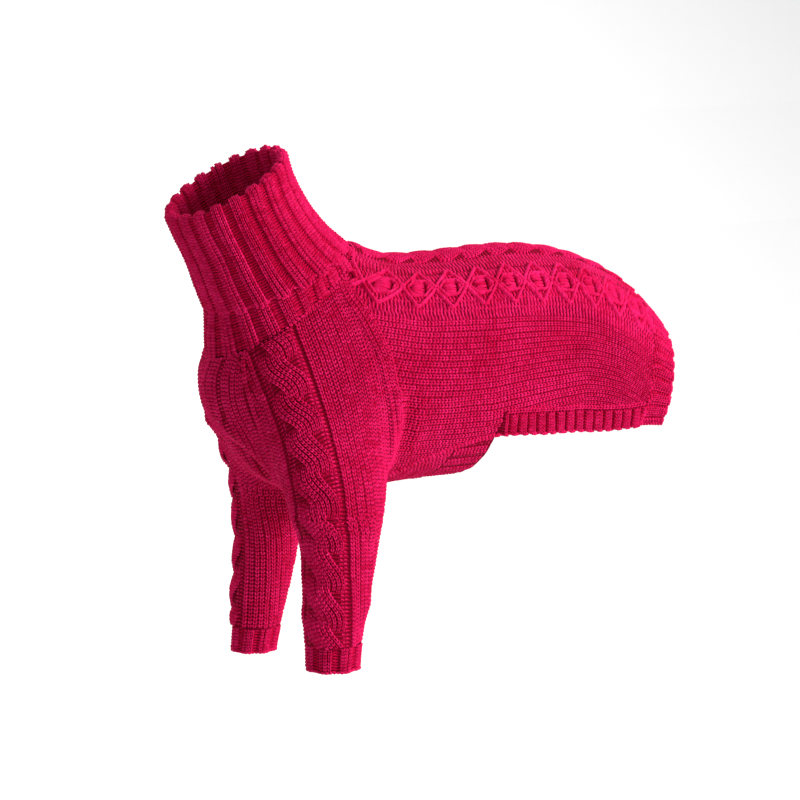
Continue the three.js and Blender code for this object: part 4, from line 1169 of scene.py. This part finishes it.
def cuff_pieces(side):
    top = cuff_top(side)
    z = np.concatenate([[top - 0.3], np.linspace(top - 3, CUFF_END[side], 7)])
    turn = -2 * np.pi * np.linspace(0, 1, LEG_POINTS)
    section = leg_section(side, z)
    centre = np.stack([section[:, 1], section[:, 2] * side, z], axis=-1)
    toward = np.stack([np.cos(turn), np.sin(turn) * side, 0 * turn], axis=-1)
    points = cast_out(centre[:, None, :], np.broadcast_to(toward, (len(z), len(turn), 3)))
    normals = unit(slope(points))
    turns = np.linspace(0, CUFF_RIBS, len(turn))
    relief = np.broadcast_to(rib_height(CUFF_RIB, "cloth", turns), points.shape[:2])
    places = pairs(-turn * 5, z[:, None] / ROW)
    cloth = cloth_shell(f"cuff_{SIDES[side]}_cloth", points, normals, relief, places)

    stitches = Stitches()
    wales = CUFF_RIBS * CUFF_RIB["wales"]
    width = running_length(points[3])[-1] / wales * CUFF_RIB["wider"]
    for k in range(wales):
        column = k / wales * (len(turn) - 1)
        i = int(column)
        g = column - i
        line, out = (grid[::-1, i] * (1 - g) + grid[::-1, i + 1] * g for grid in (points, normals))
        out = unit(out)
        lift = rib_height(CUFF_RIB, "yarn", k / CUFF_RIB["wales"])
        stitches.along(line + out * lift, out, width, **rib_kind(CUFF_RIB, k))
    raised = normals[-1] * rib_height(CUFF_RIB, "edge", turns)[:, None]
    stitches.along(points[-1] + raised + np.array([0, 0, 0.8]), normals[-1], **CUFF_EDGE)
    return cloth, stitches


# Roll neck

COLLAR_LAYER = WALL + COLLAR_LAYER_GAP
COLLAR_LAST = len(TURNED_DOWN) - 1
GROWN = TURNED_DOWN[-1] - TURNED_DOWN[-2]
COLLAR_UP = unit(np.array([GROWN[0] + GROWN[2], 0, GROWN[1] + GROWN[3]]))


def neck_line(places, insets, turn):
    """Points of the turned-down layer at one turn round the neck, moved in from its outer face"""
    places, insets = np.broadcast_arrays(np.asarray(places, float), np.asarray(insets, float))
    row = blend_rows(TURNED_DOWN, places)
    back, front = (np.insert(row[..., k:k + 2], 1, 0, axis=-1) for k in (0, 2))
    half = row[..., 4]
    reach = np.linalg.norm(back - front, axis=-1) / 2
    normal = unit(np.stack([np.cos(turn) / reach, np.sin(turn) / half], axis=-1))
    u = np.cos(turn) * reach - normal[..., 0] * insets
    y = np.sin(turn) * half - normal[..., 1] * insets
    return (back + front) / 2 + unit(back - front) * u[..., None] + y[..., None] * np.array([0, 1, 0])


def base_ring(turn, inset):
    """Where the roll neck meets the body"""
    angle = np.degrees(np.abs(np.arctan2(np.sin(turn), np.cos(turn))))
    arc = np.where(np.sin(turn) < 0, -arc_at(LEFT, 0, angle), arc_at(RIGHT, 0, angle))
    point, normal = on_trunk(0, arc)
    return point - normal * inset


def outward_at(turn):
    line = neck_line(np.zeros(2), [0.0, -1.0], turn)
    return unit(line[1] - line[0])


def under_line(turn, lift):
    """From the seam up under the fold, outside"""
    upper = neck_line([0.5], COLLAR_LAYER + 0.8, turn)[0]
    base = base_ring(turn, 0)
    f = np.linspace(0.02, 1, 8)[:, None]
    return base + (upper - base) * f + outward_at(turn) * lift * 0.8


def over_line(turn, lift, rib):
    """From the loose edge up the outer face, over the fold, and down inside to the seam"""
    first = neck_line([0.0, 0.4], 0, turn)
    down = unit(first[0] - first[1])
    edge = neck_line([0.0, 0.0], [2.6, 0.9 - lift], turn)
    edge = edge + down * np.array([[0.6], [2.0]]) * (0.3 + 1.6 * rib)
    face = neck_line(np.linspace(0.03, COLLAR_LAST, 24), -lift, turn)
    bend = np.linspace(0, math.pi, 9)[1:]
    radius = (COLLAR_LAYER + WALL) / 2 + lift
    fold = neck_line(COLLAR_LAST, -lift + radius * (1 - np.cos(bend)), turn)
    fold = fold + COLLAR_UP * ((FOLD_RISE + lift) * np.sin(bend))[:, None]
    inside = neck_line(np.linspace(COLLAR_LAST - 0.05, 0, 22), COLLAR_LAYER + WALL + lift * 0.6, turn)
    foot = base_ring(turn, WALL + 0.5)[None]
    return np.concatenate([edge, face, fold, inside, foot])


def facing_out(line, turn, known):
    """Normals of a line at one turn. At the known point they face away from the neck's axis."""
    around = unit(neck_line([1.0], 0, turn + 0.02) - neck_line([1.0], 0, turn))
    normals = unit(np.cross(np.gradient(line, axis=0), around))
    return normals if (normals[known] * outward_at(turn)).sum() > 0 else -normals


def collar_cloth():
    """The wall of the roll neck: from the seam round the slot under the fold, and back over the fold"""
    columns = np.arange(COLLAR_RIBS * COLLAR_SPLIT) / COLLAR_SPLIT
    turns = 2 * np.pi * columns / COLLAR_RIBS
    loops = []
    for turn, column in zip(turns, columns):
        lift = rib_height(COLLAR_RIB, "cloth", column)
        slot = neck_line([0.8, 0.7, 0.1], [COLLAR_LAYER, WALL, WALL], turn)
        over = over_line(turn, lift, rib_profile(column))
        loops.append(np.concatenate([under_line(turn, lift), slot, over]))
    points = np.stack(loops, axis=1)
    across = grid_size(np.concatenate([points, points[:, :1]], axis=1))[0]
    whole_wale = running_length(over_line(math.pi, 0, 0))[-1]
    ids = np.arange(points[..., 0].size).reshape(points.shape[:2])
    faces = grid_faces(np.pad(ids, ((0, 1), (0, 1)), mode="wrap"))
    places = pairs(turns * 12, np.linspace(0, 60, len(points))[:, None])
    piece = mesh_piece("collar_cloth", points.reshape(-1, 3) * MM, faces, places.reshape(-1, 2))
    return face_outward(piece), (across, math.ceil(whole_wale) * MM)


def collar_stitches():
    """The right half of the stitches, then the left"""
    halves = (Stitches(), Stitches())
    wales = COLLAR_RIBS * COLLAR_RIB["wales"]
    width = 2 * math.pi * COLLAR_RADIUS / wales * COLLAR_RIB["wider"]
    for k in range(wales):
        turn = 2 * math.pi * k / wales
        column = k / COLLAR_RIB["wales"]
        lift = rib_height(COLLAR_RIB, "yarn", column)
        seen_under = under_line(turn, lift)[:UNDER_SEEN]
        seen_over = over_line(turn, lift, rib_profile(column))[::-1][LINING_HIDDEN:]
        for line, known in ((seen_under, 4), (seen_over, -14)):
            normals = facing_out(line, turn, known)
            halves[2 * k // wales].along(line, normals, width, **rib_kind(COLLAR_RIB, k))
    turns = np.linspace(0, 2 * np.pi, RIM_POINTS)
    columns = turns / (2 * np.pi) * COLLAR_RIBS
    lifts = rib_height(COLLAR_RIB, "yarn", columns)
    edge = np.stack([over_line(*each)[1] for each in zip(turns, lifts, rib_profile(columns))])
    out = np.stack([outward_at(turn) for turn in turns])
    seam = base_ring(turns, -0.2)
    middle = len(turns) // 2
    for stitches, part in zip(halves, (slice(0, middle + 1), slice(middle, None))):
        stitches.along(edge[part], out[part], **COLLAR_EDGE)
        stitches.along(seam[part], out[part], **COLLAR_SEAM)
    return halves


# Materials

class Material:
    """A Principled material, with short ways to add nodes to it"""

    def __init__(self, name, inputs):
        self.data = bpy.data.materials.new(name)
        self.data.use_nodes = True
        self.shader = self.data.node_tree.nodes["Principled BSDF"]
        self.fill(self.shader, inputs)

    def fill(self, node, inputs):
        for name, value in inputs.items():
            node.inputs[name].default_value = value

    def add(self, kind, inputs, links, **settings):
        """A node with fixed inputs, and links from other nodes' outputs to its inputs"""
        node = self.data.node_tree.nodes.new(f"ShaderNode{kind}")
        for name, value in settings.items():
            setattr(node, name, value)
        self.fill(node, inputs)
        for name, output in links.items():
            self.data.node_tree.links.new(output, node.inputs[name])
        return node

    def colour(self, factor, dark, light, span=(0.0, 1.0)):
        ramp = self.add("ValToRGB", {}, {"Fac": factor})
        for element, colour, position in zip(ramp.color_ramp.elements, (dark, light), span):
            element.color = (*colour, 1)
            element.position = position
        self.data.node_tree.links.new(ramp.outputs["Color"], self.shader.inputs["Base Color"])

    def bump(self, height, strength, distance):
        node = self.add("Bump", {"Strength": strength, "Distance": distance}, {"Height": height})
        self.data.node_tree.links.new(node.outputs["Normal"], self.shader.inputs["Normal"])


def yarn_material(name):
    """Plied yarn: a twist across each length, loose fibres, uneven dye, and painted shade in the tone
    of some stitches
    """
    yarn = Material(name, {
        "Roughness": 0.82,
        "Specular IOR Level": 0.06,
        "Sheen Weight": 0.03,
        "Sheen Roughness": 0.45,
        "Sheen Tint": (1.0, 0.3, 0.5, 1),
    })
    place = yarn.add("TexCoord", {}, {})
    cloud = yarn.add("TexNoise", {"Scale": 26, "Detail": 3}, {"Vector": place.outputs["Object"]})
    # Tone of each stitch: random, and lowered by its painted shade
    tone_and_painted_shade = yarn.add("Attribute", {}, {}, attribute_name="tone_and_painted_shade")
    total = yarn.add("Math", {}, {0: cloud.outputs["Fac"], 1: tone_and_painted_shade.outputs["Fac"]}, operation="ADD")
    mean = yarn.add("Math", {1: 0.5}, {0: total.outputs[0]}, operation="MULTIPLY")
    yarn.colour(mean.outputs[0], YARN_DARK, YARN_LIGHT, (0.28, 0.72))

    bands = {"wave_type": "BANDS", "bands_direction": "DIAGONAL"}
    plies = {"Scale": 0.9, "Distortion": 1.2}
    twist = yarn.add("TexWave", plies, {"Vector": place.outputs["UV"]}, **bands)
    fibre = yarn.add("TexNoise", {"Scale": 1400, "Detail": 3}, {"Vector": place.outputs["Object"]})
    both = yarn.add(
        "Math", {1: 0.7}, {0: twist.outputs["Fac"], 2: fibre.outputs["Fac"]}, operation="MULTIPLY_ADD"
    )
    yarn.bump(both.outputs[0], 0.765, 0.0005)
    return yarn.data


def painted_shade_ground_material(name):
    """The cloth between the stitches, darker as painted shade, with the loops of its purl side painted
    darker in their troughs
    """
    ground = Material(name, {"Roughness": 0.9, "Specular IOR Level": 0.05})
    place = ground.add("TexCoord", {}, {})
    bands = {"wave_type": "BANDS", "bands_direction": "Y"}
    size = {"Scale": 0.314, "Distortion": 1.5, "Detail": 1}
    rows = ground.add("TexWave", size, {"Vector": place.outputs["UV"]}, **bands)
    # Painted shade: the colour follows the rows of the bump, darker in their troughs
    ground.colour(rows.outputs["Fac"], GROUND_PAINTED_SHADE_DARK, GROUND_PAINTED_SHADE_LIGHT)
    ground.bump(rows.outputs["Fac"], 0.9, 0.0012)
    return ground.data


def paper_material(name):
    paper = Material(name, {"Roughness": 0.9})
    cloud = paper.add("TexNoise", {"Scale": 3}, {})
    paper.colour(cloud.outputs["Fac"], PAPER_DARK, PAPER_LIGHT)
    return paper.data


MATERIALS = {
    kind: {"cloth": painted_shade_ground_material(f"{kind}_ground"), "knit": yarn_material(f"{kind}_yarn")}
    for kind in ("cable", "rib")
}


# Assembly

def add_piece(kind, node, cloth, **knits):
    """One piece of the garment: its cloth, its stitches, and the node that they stand for"""
    piece, flat = cloth
    piece.data.materials.append(MATERIALS[kind]["cloth"])
    for name, stitches in knits.items():
        knit = stitches.make(name)
        knit.data.materials.append(MATERIALS[kind]["knit"])
        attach(knit, "root")
    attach(piece, "root")
    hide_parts(node)
    flat = tuple(round(size, 4) for size in flat)


def garment():
    for side, word in SIDES.items():
        knits = {f"sleeve_{word}_knit": sleeve_stitches(side)}
        add_piece("cable", f"sleeve_{word}", sleeve_shell(side), **knits)
        cloth, stitches = cuff_pieces(side)
        add_piece("rib", f"cuff_{word}", cloth, **{f"cuff_{word}_knit": stitches})
        cloth, stitches = side_band(side)
        add_piece("rib", f"hem_side_{word}", cloth, **{f"side_band_{word}_knit": stitches})

    knits = {"spine_rope_knit": spine_rope()}
    for side, word in SIDES.items():
        knits[f"back_{word}_knit"] = back_stitches(side)
    add_piece("cable", "back_panel", back_shell(), **knits)

    chest = under_stitches(0, BELLY_BAND, chest_groove)
    add_piece("cable", "chest_panel", under_shell("chest_cloth", 0, BELLY_BAND, 40), chest_knit=chest)
    belly = under_stitches(BELLY_BAND, BELLY_END, belly_groove)
    band = under_shell("belly_band_cloth", BELLY_BAND, BELLY_END, 14)
    add_piece("rib", "hem_belly", band, belly_band_knit=belly)
    cloth, stitches = rear_band()
    add_piece("rib", "hem_rear", cloth, rear_band_knit=stitches)
    right, left = collar_stitches()
    add_piece("rib", "collar", collar_cloth(), collar_right_knit=right, collar_left_knit=left)


# Floor, light and camera

def studio():
    """White paper that bends up behind the garment, and an even grey world"""
    place = (*FLOOR_MIDDLE, CAD_BOX[0][2] - FLOOR_BELOW)
    cuts = {"x_subdivisions": FLOOR_CUTS, "y_subdivisions": FLOOR_CUTS}
    bpy.ops.mesh.primitive_grid_add(size=FLOOR_SIZE, location=place, **cuts)
    floor = bpy.context.object
    floor.name = "studio_floor"
    for vertex in floor.data.vertices:
        beyond = max(vertex.co.y - FLOOR_BENDS_AT, 0)
        vertex.co.z = FLOOR_BEND * beyond**2
    floor.data.materials.append(paper_material("studio_paper"))

    world = bpy.data.worlds.new("studio")
    bpy.context.scene.world = world
    world.use_nodes = True
    background = world.node_tree.nodes["Background"]
    background.inputs["Color"].default_value = (1, 1, 1, 1)
    background.inputs["Strength"].default_value = WORLD_STRENGTH


def area_light(name, place, target, size, power):
    data = bpy.data.lights.new(name, "AREA")
    data.shape = "RECTANGLE"
    data.size, data.size_y = size
    data.energy = power
    light = bpy.data.objects.new(name, data)
    light.location = place
    light.rotation_euler = (Vector(target) - Vector(place)).to_track_quat("-Z", "Y").to_euler()
    bpy.context.scene.collection.objects.link(light)


def camera():
    data = bpy.data.cameras.new("camera")
    data.sensor_width = SENSOR
    data.lens = SENSOR * FOCAL_PIXELS / FRAME_PIXELS
    data.shift_x = 0.5 - TARGET_PIXEL[0] / FRAME_PIXELS
    data.shift_y = TARGET_PIXEL[1] / FRAME_PIXELS - 0.5
    seen = bpy.data.objects.new("camera", data)
    turned = Euler((math.pi / 2 - ELEVATION, 0, AZIMUTH))
    seen.rotation_euler = turned
    seen.location = Vector(TARGET) + turned.to_matrix() @ Vector((0, 0, CAMERA_FAR))
    bpy.context.scene.collection.objects.link(seen)
    bpy.context.scene.camera = seen


garment()
studio()
for name, settings in LIGHTS.items():
    area_light(name, *settings)
camera()
bpy.context.scene.view_settings.view_transform = "Standard"
